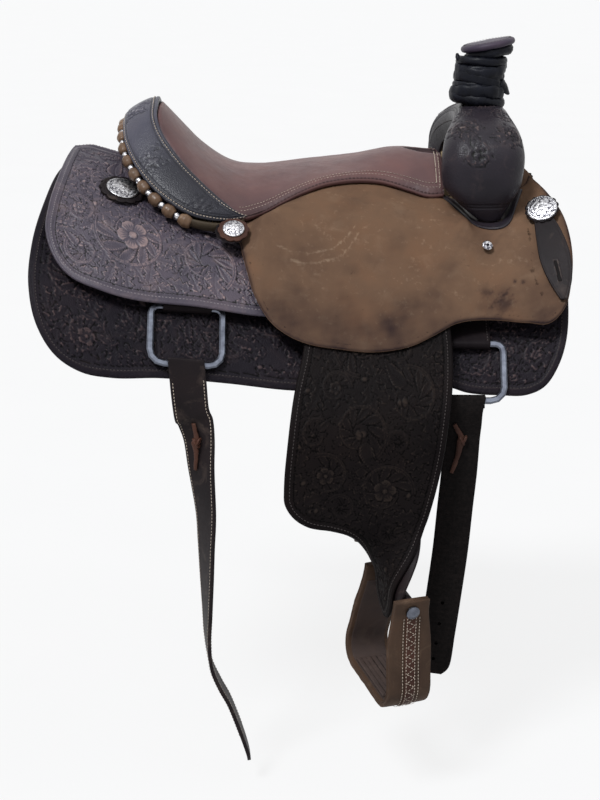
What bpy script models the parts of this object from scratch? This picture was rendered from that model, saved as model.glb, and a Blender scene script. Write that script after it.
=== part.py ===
"""Roping saddle, in metres, +X forward, +Z up, +Y to the horse's near (left) side.

The sides of the saddle are layers on one curved back: a point of a layer is given by x, by the
arc length s down the side from the spine, and by its height d over the horse's back.
"""

import math

import bmesh
import bpy
from mathutils import Matrix, Vector
from mathutils.bvhtree import BVHTree

MM = 0.001

# Horse's back
SPINE_REAR_RISE, SPINE_FRONT_RISE, SPINE_RUN = 64 * MM, 47 * MM, 300 * MM
TOP_SLOPE_MID, TOP_SLOPE_REAR, TOP_SLOPE_FRONT = 12.0, 6.0, 28.0
LOW_SLOPE, SIDE_RUN = 65.5, 340 * MM

# Thickness and gap of the layers
LAYER_GAP = 0.6 * MM
FLEECE = 14 * MM
SKIRT_LEATHER = 5.4 * MM
JOCKEY_LEATHER = 4.5 * MM
BAR_THICKNESS = 18 * MM
STIRRUP_LEATHER = 4.5 * MM
FENDER_LEATHER = 4.5 * MM
PLY = 2.3 * MM
BILLET = 4.6 * MM

D_SKIRT = FLEECE + LAYER_GAP
D_BAR = D_SKIRT + SKIRT_LEATHER + LAYER_GAP
D_BAR_TOP = D_BAR + BAR_THICKNESS
D_RIG = D_SKIRT + SKIRT_LEATHER + LAYER_GAP
D_REAR_JOCKEY_LOW = 37.5 * MM
D_UNDER_FENDER = 35.0 * MM

GRID_X = [(-330 + 55 * i) * MM for i in range(13)]
GRID_S = [34 * MM * i for i in range(1, 11)]

# Fender plane, hanging line and twist
FENDER_NORMAL = Vector((0.08, 0.81, 0.585)).normalized()
FENDER_BEND_Z, FENDER_BEND_RUN, FENDER_LOW_LEAN = -165 * MM, 80 * MM, 0.05
TWIST_TOP, TWIST_END, TWIST_TILT = -338 * MM, -424 * MM, 0.22
TWIST_X = {-1: 118 * MM, 1: 128 * MM}
TWIST_ANGLE = {-1: 74.0, 1: 84.0}
# Each side's leathers balance under their pivot
FENDER_PIVOT_X = {-1: 95.7 * MM, 1: 100.0 * MM}
FENDER_PIVOT_Z = -34 * MM

# Hardware
DEE_BAR, DEE_THICK, DEE_RADIUS = 8.5 * MM, 5.5 * MM, 4.42 * MM
DEE_CORNER, DEE_ROUND = 10 * MM, 18 * MM
DEE_LOOP = DEE_RADIUS + 0.5 * MM + PLY / 2
REAR_DEE = dict(x=-144 * MM, s=279 * MM, half=50 * MM, height=86 * MM)
FRONT_DEE = dict(x=212 * MM, s=292 * MM, half=52 * MM, height=84 * MM)
BILLET_WIDTH = 46 * MM
STIRRUP_DEPTH, STIRRUP_WALL = 56 * MM, 8 * MM
BOLT_RADIUS = 5 * MM


def clear_scene():
    for obj in list(bpy.data.objects):
        bpy.data.objects.remove(obj, do_unlink=True)


def material(name, color, roughness, metallic=0.0):
    made = bpy.data.materials.new(name)
    made.use_nodes = True
    shader = made.node_tree.nodes["Principled BSDF"]
    shader.inputs["Base Color"].default_value = (*color, 1.0)
    shader.inputs["Roughness"].default_value = roughness
    shader.inputs["Metallic"].default_value = metallic
    made.diffuse_color = (*color, 1.0)
    return made


clear_scene()
DARK = (0.045, 0.024, 0.018)
TAN = (0.42, 0.22, 0.11)
SEAT_BROWN = (0.16, 0.045, 0.025)
FLEECE_CREAM = (0.62, 0.55, 0.42)
WOOD = (0.45, 0.30, 0.16)
RAWHIDE = (0.46, 0.27, 0.13)
STEEL = (0.42, 0.44, 0.47)
SILVER = (0.72, 0.71, 0.68)
BLACK = (0.015, 0.014, 0.014)
WEB = (0.30, 0.17, 0.09)


def smooth(t):
    t = min(max(t, 0.0), 1.0)
    return t * t * (3 - 2 * t)


def table(points, x):
    """A smooth line through (x, value) pairs."""
    if x <= points[0][0]:
        return points[0][1]
    if x >= points[-1][0]:
        return points[-1][1]
    last = len(points) - 1
    for i in range(last):
        if x <= points[i + 1][0]:
            break
    slopes = []
    for k in (i, i + 1):
        a, b = points[max(k - 1, 0)], points[min(k + 1, last)]
        slopes.append((b[1] - a[1]) / (b[0] - a[0]))
    run = points[i + 1][0] - points[i][0]
    t = (x - points[i][0]) / run
    start, end = points[i][1], points[i + 1][1]
    return (
        start * (1 + 2 * t) * (1 - t) ** 2
        + slopes[0] * run * t * (1 - t) ** 2
        + end * t * t * (3 - 2 * t)
        + slopes[1] * run * t * t * (t - 1)
    )


def spine(x):
    t = abs(x) / SPINE_RUN
    return SPINE_REAR_RISE * t**1.4 if x < 0 else SPINE_FRONT_RISE * t**2.6


def section(x):
    """Radius of the side's arc at x, the slope at its top, and the height of the spine."""
    t = min(abs(x) / SPINE_RUN, 1.2)
    end = TOP_SLOPE_REAR if x < 0 else TOP_SLOPE_FRONT
    top = math.radians(TOP_SLOPE_MID + (end - TOP_SLOPE_MID) * t)
    return SIDE_RUN / (math.radians(LOW_SLOPE) - top), top, spine(x)


def back(x, s, d, side=1):
    radius, top, rise = section(x)
    angle = top + s / radius
    across = -radius * math.sin(top) + (radius + d) * math.sin(angle)
    up = rise - radius * math.cos(top) + (radius + d) * math.cos(angle)
    return Vector((x, side * across, up))


def back_sd(x, across, up):
    """(s, d) of a point on the near side."""
    radius, top, rise = section(x)
    p, q = across + radius * math.sin(top), up - rise + radius * math.cos(top)
    return (math.atan2(p, q) - top) * radius, math.hypot(p, q) - radius


def back_z(x, across, d):
    radius, top, rise = section(x)
    p = across + radius * math.sin(top)
    return rise - radius * math.cos(top) + math.sqrt((radius + d) ** 2 - p * p)


def frame_on(x, s, d, side):
    """Point and axes (forward, down the side, outward) of a layer."""
    step = 2 * MM
    point = back(x, s, d, side)
    down = (back(x, s + step, d, side) - back(x, s - step, d, side)).normalized()
    ahead = back(x + step, s, d, side) - back(x - step, s, d, side)
    ahead = (ahead - down * ahead.dot(down)).normalized()
    out = ahead.cross(down) if side < 0 else down.cross(ahead)
    return point, ahead, down, -out if out.z < 0 else out


def add(name, verts, faces, mat, smooth_angle=35):
    mesh = bpy.data.meshes.new(name)
    mesh.from_pydata([tuple(v) for v in verts], [], faces)
    work = bmesh.new()
    work.from_mesh(mesh)
    bmesh.ops.recalc_face_normals(work, faces=work.faces)
    work.to_mesh(mesh)
    work.free()
    mesh.shade_smooth()
    mesh.set_sharp_from_angle(angle=math.radians(smooth_angle))
    mesh.materials.append(mat)
    obj = bpy.data.objects.new(name, mesh)
    bpy.context.scene.collection.objects.link(obj)
    return obj


def cells_of(outline, us, vs, snap=5 * MM):
    """The flat outline cut along the grid lines."""
    flat = bmesh.new()
    flat.faces.new([flat.verts.new((u, v, 0)) for u, v in outline])
    for axis, values in (((1, 0, 0), us), ((0, 1, 0), vs)):
        for value in values:
            bmesh.ops.bisect_plane(
                flat,
                geom=flat.verts[:] + flat.edges[:] + flat.faces[:],
                dist=snap if min(abs(value - p[axis[1]]) for p in outline) > 0 else 0.1 * MM,
                plane_co=tuple(value * a for a in axis),
                plane_no=axis,
            )
    flat.verts.index_update()
    points = [(v.co.x, v.co.y) for v in flat.verts]
    cells = [[v.index for v in f.verts] for f in flat.faces]
    rims = []
    for edge in flat.edges:
        if len(edge.link_faces) == 1:
            loop = edge.link_loops[0]
            rims.append((loop.vert.index, loop.link_loop_next.vert.index))
    flat.free()
    return points, cells, rims


def slab(name, outline, us, vs, low, high, mat):
    """A closed sheet between two maps of one flat outline."""
    points, cells, rims = cells_of(outline, us, vs)
    count = len(points)
    verts = [high(u, v) for u, v in points] + [low(u, v) for u, v in points]
    faces = [tuple(c) for c in cells] + [tuple(count + i for i in reversed(c)) for c in cells]
    faces += [(b, a, count + a, count + b) for a, b in rims]
    return add(name, verts, faces, mat)


def panel(name, outline, side, low, high, mat):
    """A leather panel on the back: low and high give d at (x, s)."""
    return slab(
        name,
        outline,
        GRID_X,
        GRID_S,
        lambda x, s: back(x, s, low(x, s), side),
        lambda x, s: back(x, s, high(x, s), side),
        mat,
    )


def loft(name, rings, mat, closed=False, smooth_angle=35):
    """One skin over rings of equal count, capped unless it closes on itself."""
    count = len(rings[0])
    verts = [p for ring in rings for p in ring]
    faces = []
    for i in range(len(rings) if closed else len(rings) - 1):
        a, b = i * count, ((i + 1) % len(rings)) * count
        for k in range(count):
            n = (k + 1) % count
            faces.append((a + k, a + n, b + n, b + k))
    if not closed:
        faces.append(tuple(range(count)))
        faces.append(tuple((len(rings) - 1) * count + k for k in range(count)))
    return add(name, verts, faces, mat, smooth_angle)


def ring_round(center, a, b, radius_a, radius_b, sides):
    return [
        center
        + a * (radius_a * math.cos(2 * math.pi * k / sides))
        + b * (radius_b * math.sin(2 * math.pi * k / sides))
        for k in range(sides)
    ]


def tube(name, path, radii, sides, mat, closed=False):
    """A round bar along a path, with a frame carried along it."""
    count = len(path)
    rings, normal = [], None
    for i, point in enumerate(path):
        if closed:
            ahead = (path[(i + 1) % count] - path[i - 1]).normalized()
        else:
            ahead = (path[min(i + 1, count - 1)] - path[max(i - 1, 0)]).normalized()
        if normal is None:
            normal = ahead.orthogonal().normalized()
        normal = (normal - ahead * normal.dot(ahead)).normalized()
        other = ahead.cross(normal)
        radius = radii[i] if isinstance(radii, list) else radii
        rings.append(ring_round(point, normal, other, radius, radius, sides))
    return loft(name, rings, mat, closed)


def ribbon(name, stations, mat):
    """A strap through stations of (center, across, normal, half width, thickness)."""
    rings = []
    for center, across, normal, half, thick in stations:
        corners = []
        for w, h in ((-1, -1), (1, -1), (1, 1), (-1, 1)):
            corners.append(center + across * (w * half) + normal * (h * thick / 2))
        rings.append(corners)
    return loft(name, rings, mat, smooth_angle=25)


def turned(name, profile, origin, axis, sides, mat):
    """A turned solid from (radius, height) points, closed on its axis."""
    a = axis.orthogonal().normalized()
    b = axis.cross(a)
    rings = []
    for radius, height in profile:
        rings.append(ring_round(origin + axis * height, a, b, radius, radius, sides))
    return loft(name, rings, mat)


# Materials, one to each named piece
def mat_for(name, color, roughness, metallic=0.0):
    return material(name + "_surface", color, roughness, metallic)


# Outlines of one side, in millimetres of x and s
SKIRT = [
    (-306, 5), (-318, 45), (-331, 139), (-340, 218), (-340, 273), (-328, 319), (-305, 347),
    (-274, 357), (-237, 353), (-175, 336), (-91, 322), (-4, 316), (90, 309), (188, 305),
    (214, 315), (255, 325), (291, 333), (313, 329), (330, 310), (341, 282), (346, 231),
    (344, 180), (332, 122), (310, 62), (288, 18), (220, 10), (60, 14), (-200, 8),
]
REAR_JOCKEY = [
    (-309, 3), (-316, 96), (-322, 160), (-322, 200), (-309, 232), (-290, 249), (-252, 257),
    (-214, 257), (-127, 243), (-49, 237), (-28, 234), (-34, 150), (-82, 138), (-116, 126),
    (-146, 111), (-172, 88), (-188, 60), (-193, 30), (-193, 3),
]
SEAT_JOCKEY_LOW = [
    (-113, 131), (-78, 150), (-73, 168), (-66, 193), (-57, 219), (-37, 248), (-16, 261),
    (10, 269), (50, 272), (91, 273), (139, 265), (170, 252), (199, 239), (240, 238), (291, 252),
    (318, 260), (336, 249), (346, 221), (350, 181), (343, 127), (326, 82), (306, 42),
]
BAR = [
    (-262, 60), (-250, 26), (-200, 20), (0, 24), (200, 30), (262, 30), (276, 60), (268, 110),
    (230, 134), (158, 138), (146, 186), (86, 186), (72, 133), (-60, 128), (-180, 130), (-240, 116),
]


def scaled(outline):
    return [(u * MM, v * MM) for u, v in outline]


def inset(outline, by):
    """The outline moved inwards."""
    count = len(outline)
    area = sum(
        outline[i - 1][0] * outline[i][1] - outline[i][0] * outline[i - 1][1] for i in range(count)
    )
    sign = 1 if area > 0 else -1
    moved = []
    for i in range(count):
        before = Vector(outline[i]) - Vector(outline[i - 1])
        after = Vector(outline[(i + 1) % count]) - Vector(outline[i])
        normals = [Vector((-e.y, e.x)).normalized() * sign for e in (before, after)]
        middle = (normals[0] + normals[1]).normalized()
        reach = by / max(middle.dot(normals[0]), 0.5)
        moved.append(tuple(Vector(outline[i]) + middle * reach))
    return moved


# Seat: height over the plan, from the middle line, the rim of the cantle and the side edges
SEAT_MIDDLE = scaled([
    (-192, 166), (-176, 149), (-156, 127), (-136, 106), (-112, 88), (-92, 79), (-72, 76), (-40, 77),
    (0, 81), (41, 85), (68, 89), (123, 100), (166, 99), (200, 96),
])
RIM_PLAN = scaled([
    (-190, 0), (-189, 60), (-178, 85), (-153, 110), (-128, 128), (-100, 142), (-78, 150),
])
RIM_HEIGHT = scaled([
    (-190, 168), (-189, 146), (-178, 124), (-153, 94), (-128, 71), (-100, 48), (-78, 33),
])
EDGE_PLAN = scaled([
    (-78, 150), (-50, 137), (-20, 126), (0, 119), (30, 108), (60, 99), (86, 92), (110, 88),
    (145, 90), (170, 95), (190, 94),
])
EDGE_HEIGHT = scaled([
    (-78, 33), (-50, 37), (-20, 51), (0, 60), (30, 70), (60, 74), (86, 74), (110, 71), (145, 61),
    (170, 54), (190, 55),
])
SEAT_THICK = 10 * MM


def seat_half(x):
    return table(RIM_PLAN if x < -78 * MM else EDGE_PLAN, x)


def seat_top(x, y):
    half = max(seat_half(x), 20 * MM)
    edge = table(RIM_HEIGHT if x < -78 * MM else EDGE_HEIGHT, x)
    middle = table(SEAT_MIDDLE, x)
    return middle + (edge - middle) * min(abs(y) / half, 1.2) ** 2.3


def seat_under(x, y):
    return seat_top(x, y) - SEAT_THICK


SEAT_OUTLINE = [(p[0], p[1]) for p in RIM_PLAN] + [(p[0], p[1]) for p in EDGE_PLAN[1:]]
SEAT_GRID_X = [v * MM for v in (-172, -140, -110, -60, -20, 20, 60, 100, 150)]
SEAT_GRID_Y = [v * MM for v in (-120, -90, -60, -30, 0, 30, 60, 90, 120)]


def seat_ring(rows):
    """Closed plan outline with no doubled point on the middle line."""
    off = [(x, -y) for x, y in rows]
    near = [(x, y) for x, y in reversed(rows) if y > 0]
    return off + near


slab(
    "seat",
    seat_ring(SEAT_OUTLINE),
    SEAT_GRID_X,
    SEAT_GRID_Y,
    lambda x, y: Vector((x, y, seat_under(x, y))),
    lambda x, y: Vector((x, y, seat_top(x, y))),
    mat_for("seat", SEAT_BROWN, 0.38),
)

# Ground seat: fills the space from the bars to the seat, ahead of the cantle
GROUND_REAR = -108 * MM
ground_rows = [(GROUND_REAR, 0)]
for x in (-108, -78, -40, 0, 40, 80, 120, 150):
    reach = table(EDGE_PLAN, x * MM) if x > -78 else table(RIM_PLAN, x * MM)
    ground_rows.append((x * MM, min(reach, 132 * MM) - 17 * MM))
ground_rows.append((150 * MM, 0))


def ground_low(x, y):
    return back_z(x, max(abs(y), 12 * MM), D_BAR_TOP) + 1.2 * MM


slab(
    "ground_seat",
    [(x, -y) for x, y in ground_rows] + [(x, y) for x, y in reversed(ground_rows) if y > 0],
    SEAT_GRID_X,
    SEAT_GRID_Y,
    lambda x, y: Vector((x, y, ground_low(x, y))),
    lambda x, y: Vector((x, y, max(seat_under(x, y) - 4.0 * MM, ground_low(x, y) + 2 * MM))),
    mat_for("ground_seat", TAN, 0.7),
)

# Cantle board: a wedge from the bars up to the rim, leaning back
CANTLE_LEAN = 0.22
board_rows = [(GROUND_REAR - 1.0 * MM, 0)]
board_rows += [(GROUND_REAR - 1.0 * MM, 118 * MM), (-116 * MM, 124 * MM), (-138 * MM, 112 * MM)]
board_rows += [(-160 * MM, 95 * MM), (-177 * MM, 74 * MM), (-183 * MM, 50 * MM), (-184 * MM, 0)]


def board_low(x, y):
    reach = smooth((GROUND_REAR - x) / (70 * MM))
    foot_x = x + 26 * MM * reach
    foot_y = y * (1 - 0.10 * reach)
    return Vector((foot_x, foot_y, back_z(foot_x, max(abs(foot_y), 12 * MM), D_BAR_TOP) + 0.9 * MM))


slab(
    "cantle_board",
    [(x, -y) for x, y in board_rows] + [(x, y) for x, y in reversed(board_rows[1:-1])],
    [v * MM for v in (-140, -172)],
    SEAT_GRID_Y,
    board_low,
    lambda x, y: Vector((x, y, seat_under(x, y) - (3.1 + 2.8 * smooth((-0.12 - x) / 0.03)) * MM)),
    mat_for("cantle_board", WOOD, 0.7),
)

# Cantle stations round the rim, from the off end to the near end
STATIONS = [
    (-190, 0), (-190, 30), (-189, 60), (-178, 85), (-153, 110), (-128, 128), (-100, 142), (-80, 149),
]
ROLL_EDGE = [
    (-238, 0, 147), (-237, 38, 141), (-232, 76, 121), (-218, 107, 97), (-195, 135, 72),
    (-167, 152, 51), (-136, 161, 35), (-98, 158, 27),
]


def rim_point(i):
    x, y = STATIONS[i][0] * MM, STATIONS[i][1] * MM
    return Vector((x, y, table(RIM_HEIGHT, x) if i > 1 else (168 - 7 * i) * MM))


def both_sides(points):
    """The off side's points from the end to the middle, then the near side's."""
    off = [Vector((p.x, -p.y, p.z)) for p in reversed(points[1:])]
    return off + points


rim = both_sides([rim_point(i) for i in range(len(STATIONS))])
edge = both_sides([Vector(p) * MM for p in ROLL_EDGE])
# The roll's section: parts of its width, and millimetres over the rim
ROLL_SECTION = [
    (0, -6), (0, 1), (0.22, 4.5), (0.5, 5), (0.8, 3), (0.96, -1), (1, -6), (0.9, -9), (0.5, -7),
    (0.15, -8),
]
ROLL_GAP = 1.2 * MM

roll_rings = []
for i, (a, b) in enumerate(zip(rim, edge)):
    wide = (b - a).length - ROLL_GAP
    out = (b - a).normalized()
    start = a + out * ROLL_GAP
    full = min(1.0, 0.45 + 0.3 * min(i, len(rim) - 1 - i))
    roll_rings.append([
        start + out * (t * wide) + Vector((0, 0, h * full * MM)) for t, h in ROLL_SECTION
    ])
loft("cheyenne_roll", roll_rings, mat_for("cheyenne_roll", DARK, 0.35))

# Beads bound along the underside of the roll's outer edge
BEAD_SMALL, BEAD_BIG, BEAD_DROP = 6.6 * MM, 8.8 * MM, 7.4 * MM
bead_path = []
for i, (a, b) in list(enumerate(zip(rim, edge)))[1:-1]:
    out = (b - a).normalized()
    bead = BEAD_SMALL + (BEAD_BIG - BEAD_SMALL) * abs(i - len(rim) // 2) / (len(rim) // 2)
    bead_path.append(b + out * 1.5 * MM - Vector((0, 0, BEAD_DROP + bead)))


def resample(points, step):
    """Points at even steps along a smooth line."""
    dense = []
    last = len(points) - 1
    for i in range(last):
        p0, p1 = points[max(i - 1, 0)], points[i]
        p2, p3 = points[i + 1], points[min(i + 2, last)]
        for k in range(24):
            t = k / 24
            dense.append(
                0.5 * (2 * p1 + (p2 - p0) * t + (2 * p0 - 5 * p1 + 4 * p2 - p3) * t * t
                       + (3 * p1 - p0 - 3 * p2 + p3) * t**3)
            )
    dense.append(points[-1])
    length = sum((b - a).length for a, b in zip(dense, dense[1:]))
    count = round(length / step)
    step = length / count
    made, gone, want = [dense[0]], 0.0, step
    for a, b in zip(dense, dense[1:]):
        span = (b - a).length
        while gone + span >= want - 1e-9 and len(made) < count:
            made.append(a.lerp(b, (want - gone) / span))
            want += step
        gone += span
    made.append(dense[-1])
    return made


BEAD_PITCH = 25 * MM
beads = resample(bead_path, BEAD_PITCH / 2)
bead_radii = []
for i in range(len(beads)):
    bead = BEAD_SMALL + (BEAD_BIG - BEAD_SMALL) * abs(2 * i / (len(beads) - 1) - 1)
    bead_radii.append(bead if i % 2 else 0.6 * bead)
tube("cantle_beads", beads, bead_radii, 8, mat_for("cantle_beads", RAWHIDE, 0.5))

# Cantle back: the leather behind the board, from its foot up under the roll
back_rings = []
top_rows = both_sides([Vector((x, y, 0)) for x, y in (
    (-184 * MM, 0), (-184 * MM, 26 * MM), (-183 * MM, 50 * MM), (-177 * MM, 74 * MM),
    (-160 * MM, 95 * MM), (-138 * MM, 112 * MM), (-116 * MM, 124 * MM),
)])
for i, p in enumerate(top_rows):
    a, b = top_rows[max(i - 1, 0)], top_rows[min(i + 1, len(top_rows) - 1)]
    outward = Vector((-(b - a).y, (b - a).x, 0)).normalized()
    if outward.dot(p - Vector((-90 * MM, 0, 0))) < 0:
        outward = -outward
    top = Vector((p.x, p.y, seat_under(p.x, p.y) - 4 * MM))
    foot = board_low(p.x, p.y) + Vector((0, 0, 1.0 * MM))
    gap, thick = 1.8 * MM, 4 * MM
    back_rings.append([
        foot + outward * gap, top + outward * gap,
        top + outward * (gap + thick), foot + outward * (gap + thick),
    ])
loft("cantle_back", back_rings, mat_for("cantle_back", DARK, 0.4), smooth_angle=50)

# Fork: one arch over the gullet, with a swell on each side
FORK = [
    # across, up, half front-to-back, centre x, outward slope angle from +Y, depth of the arch
    (128, 18, 18, 248, -28, 30), (139, 36, 34, 241.5, -18, 44), (149, 57, 48, 238, -8, 56),
    (153, 80, 52, 237.5, 4, 64), (150, 106, 53, 238.5, 24, 66), (135, 128, 52.5, 239, 46, 62),
    (106, 145, 49, 240, 62, 54), (70, 154, 43, 242, 75, 46), (36, 159, 38, 244, 84, 41),
    (0, 161, 37, 245, 90, 40),
]
# The fork's section: parts of its half width, and of its depth from the outside
FORK_SECTION = [
    (-0.80, 1.0), (-1.0, 0.62), (-0.97, 0.32), (-0.62, 0.06), (0, 0), (0.62, 0.06), (0.97, 0.32),
    (1.0, 0.62), (0.80, 1.0),
]
FORK_COVER = 4 * MM


def fork_rings(shrink):
    """Sections across the arch; a shell keeps its gullet side open."""
    rings = []
    rows = [(*row, 1) for row in FORK] + [(*row, -1) for row in reversed(FORK[:-1])]
    for across, up, half, mid, slope, deep, side in rows:
        angle = math.radians(slope)
        out = Vector((0, side * math.cos(angle), math.sin(angle)))
        top = Vector((mid * MM, side * across * MM, up * MM)) - out * shrink
        half = half * MM - shrink
        deep = deep * MM - shrink
        rings.append([
            top + Vector((h * half, 0, 0)) - out * (t * deep) for h, t in FORK_SECTION
        ])
    return rings


def fork_foot(ring):
    """The fork's foot: the end section brought down on the top of the bar."""
    flat = [back_sd(p.x, abs(p.y), p.z)[0] for p in ring]
    first, side = min(flat), math.copysign(1, ring[0].y)
    return [
        back(p.x, FOOT_S + (s - first) * FOOT_TAPER, D_BAR_TOP + FOOT_GAP, side)
        for p, s in zip(ring, flat)
    ]


FOOT_S, FOOT_TAPER, FOOT_GAP = 84 * MM, 0.8, 0.8 * MM
wood_rings = fork_rings(FORK_COVER + 2.9 * MM)
loft("fork_wood", [fork_foot(wood_rings[0]), *wood_rings, fork_foot(wood_rings[-1])],
     mat_for("fork_wood", WOOD, 0.7))
outer, inner = fork_rings(0), fork_rings(FORK_COVER)
loft(
    "fork_cover",
    [a + list(reversed(b)) for a, b in zip(outer, inner)],
    mat_for("fork_cover", DARK, 0.35),
)

# Skirts and fleece
for side, tag in ((-1, "off"), (1, "near")):
    panel("skirt_" + tag, scaled(SKIRT), side, lambda x, s: D_SKIRT,
          lambda x, s: D_SKIRT + SKIRT_LEATHER, mat_for("skirt_" + tag, DARK, 0.42))
    panel("skirt_fleece_" + tag, inset(scaled(SKIRT), 3 * MM), side,
          lambda x, s: FLEECE * (0.35 - 0.35 * smooth((0.33 - s) / 0.03)) if s > 0.3 else 0.0,
          lambda x, s: FLEECE, mat_for("skirt_fleece_" + tag, FLEECE_CREAM, 0.95))


# Rear jockey
D_REAR_JOCKEY_TIP = 30.5 * MM


def rear_jockey_d(x, s):
    over_bar = smooth((x + 0.315) / 0.035) * smooth((0.200 - s) / 0.05)
    low = D_REAR_JOCKEY_TIP + (D_REAR_JOCKEY_LOW - D_REAR_JOCKEY_TIP) * smooth((x + 0.300) / 0.06)
    return low + (D_BAR_TOP + 0.8 * MM - low) * over_bar


for side, tag in ((-1, "off"), (1, "near")):
    panel("rear_jockey_" + tag, scaled(REAR_JOCKEY), side, rear_jockey_d,
          lambda x, s: rear_jockey_d(x, s) + JOCKEY_LEATHER,
          mat_for("rear_jockey_" + tag, DARK, 0.38))

# Fender plane: clears everything under it
plane_reach = max(
    FENDER_NORMAL.dot(back(x * MM, s * MM, D_UNDER_FENDER if x > 150 else D_RIG + 2 * MM))
    for x in range(-30, 256, 15) for s in range(200, 331, 10)
)
NX, NY, NZ = FENDER_NORMAL


def hang_y(x, z):
    """How far out the inner face of the stirrup leather lies."""
    lean = NZ / NY
    base = (plane_reach - NX * x) / NY
    if z >= FENDER_BEND_Z:
        return base - lean * z
    drop = FENDER_BEND_Z - z
    at_bend = base - lean * FENDER_BEND_Z
    if drop <= FENDER_BEND_RUN:
        return at_bend + lean * drop - (lean - FENDER_LOW_LEAN) * drop * drop / (2 * FENDER_BEND_RUN)
    end = at_bend + (lean + FENDER_LOW_LEAN) * FENDER_BEND_RUN / 2
    return end + FENDER_LOW_LEAN * (drop - FENDER_BEND_RUN)


def hang(x, z, h, side):
    """A point of the hanging leathers, h outside their inner face."""
    turn = smooth((TWIST_TOP - z) / (TWIST_TOP - TWIST_END))
    angle = math.radians(TWIST_ANGLE[side]) * turn
    mid = TWIST_X[side] if turn > 0 else x
    step = 1 * MM
    slope_z = (hang_y(mid, z + step) - hang_y(mid, z - step)) / (2 * step)
    slope_x = (hang_y(mid + step, z) - hang_y(mid - step, z)) / (2 * step)
    flat = Vector((mid, hang_y(mid, z), z))
    if turn <= 0:
        normal = Vector((-slope_x, 1, -slope_z)).normalized()
        point = flat + normal * h
    else:
        base_angle = math.atan(slope_x)
        ahead, outward = math.cos(base_angle + angle), math.sin(base_angle + angle)
        across = Vector((ahead, outward, -TWIST_TILT * turn)).normalized()
        normal = Vector((-outward, ahead, -slope_z))
        normal = (normal - across * normal.dot(across)).normalized()
        point = flat + across * (x - mid) + normal * h
    return Vector((point.x, side * point.y, point.z))


H_LEATHER = (0.0, STIRRUP_LEATHER)
FENDER_GAP = 1.6 * MM
H_FENDER = (STIRRUP_LEATHER + FENDER_GAP, STIRRUP_LEATHER + FENDER_GAP + FENDER_LEATHER)


# Seat jockey
def jockey_top(x):
    """(s, d) of the upper edge's outer face."""
    half, height = table(EDGE_PLAN, x), table(EDGE_HEIGHT, x)
    return back_sd(x, half - 9 * MM, height - SEAT_THICK - (-1.0 if x > -20 * MM else 1.0) * MM)


def layer_s(x, up, d):
    """The s at which the layer at height d over the back lies as high as up."""
    s = 0.0
    while back(x, s, d).z > up:
        s += 0.5 * MM
    return s


JOCKEY_TOP = [(-113 * MM, 118 * MM, 54 * MM)]
for x in (-74, -45, -15, 15, 45, 75, 105, 135, 160, 188):
    JOCKEY_TOP.append((x * MM, *jockey_top(x * MM)))
NOTCH_GAP = 2 * MM
NOTCH_D = 58 * MM
for across, up, half, mid in [row[:4] for row in FORK[1::-1]]:
    x = (mid - half) * MM - NOTCH_GAP
    JOCKEY_TOP.append((x, layer_s(x, up * MM, NOTCH_D) + NOTCH_GAP, NOTCH_D))
for across, up, half, mid in [row[:4] for row in FORK[:3]]:
    x = (mid + half) * MM + NOTCH_GAP
    JOCKEY_TOP.append((x, layer_s(x, up * MM, NOTCH_D) + NOTCH_GAP, NOTCH_D - 1 * MM))
JOCKEY_TOP += [(301 * MM, 55 * MM, 53 * MM), (306 * MM, 40 * MM, 51 * MM)]
TOP_S = [(v[0], v[1]) for v in JOCKEY_TOP]
TOP_D = [(v[0], v[2]) for v in JOCKEY_TOP]
JOCKEY_LOW_S, JOCKEY_LOW_D = 262 * MM, 50.5 * MM


def fender_d(x, s):
    """Height over the back of the fender's outer face."""
    radius, top, rise = section(x)
    angle = top + s / radius
    reach = plane_reach + H_FENDER[1]
    base = FENDER_NORMAL.dot(Vector((x, -radius * math.sin(top), rise - radius * math.cos(top))))
    along = FENDER_NORMAL.dot(Vector((0, math.sin(angle), math.cos(angle))))
    return (reach - base) / along - radius


def bar_high(x, s):
    """The bar's top, which rises on its wing to the plane of the stirrup leather."""
    wing = smooth((s - WING_S[0]) / (WING_S[1] - WING_S[0]))
    return D_BAR_TOP + (fender_d(x, s) - FENDER_TO_SEAT - D_BAR_TOP) * wing


# Tree bars, each with a wing that carries the stirrup leather
WING_S = (138 * MM, 166 * MM)
FENDER_TO_SEAT = H_FENDER[1] + 0.5 * MM
for side, tag in ((-1, "off"), (1, "near")):
    panel("tree_bar_" + tag, scaled(BAR), side, lambda x, s: D_BAR, bar_high,
          mat_for("tree_bar_" + tag, WOOD, 0.7))


def jockey_high(x, s):
    """Outer face: from the upper edge out over the stirrup leather, down its plane to the lower edge."""
    top_s, top_d = table(TOP_S, x), table(TOP_D, x)
    t = min(max((s - top_s) / (JOCKEY_LOW_S - top_s), 0.0), 1.0)
    plain = top_d + (JOCKEY_LOW_D - top_d) * t
    turn_s = max(118 * MM, top_s + 25 * MM)
    gap = JOCKEY_LEATHER + FENDER_GAP
    slope = (fender_d(x, turn_s) + gap - top_d) / (turn_s - top_s)
    line, over = top_d + slope * max(s - top_s, 0.0), fender_d(x, s) + gap
    bent = min(line, over) - max(6 * MM - abs(line - over), 0.0)**2 / (24 * MM)
    clear = smooth((x + 0.075) / 0.03) * smooth((0.262 - x) / 0.05)
    return max(plain, plain + (bent - plain) * clear)


jockey_outline = scaled(SEAT_JOCKEY_LOW) + [(x, s) for x, s in reversed(TOP_S[:-1])]
for side, tag in ((-1, "off"), (1, "near")):
    panel("seat_jockey_" + tag, jockey_outline, side, lambda x, s: jockey_high(x, s) - JOCKEY_LEATHER,
          jockey_high, mat_for("seat_jockey_" + tag, TAN, 0.75))

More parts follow.
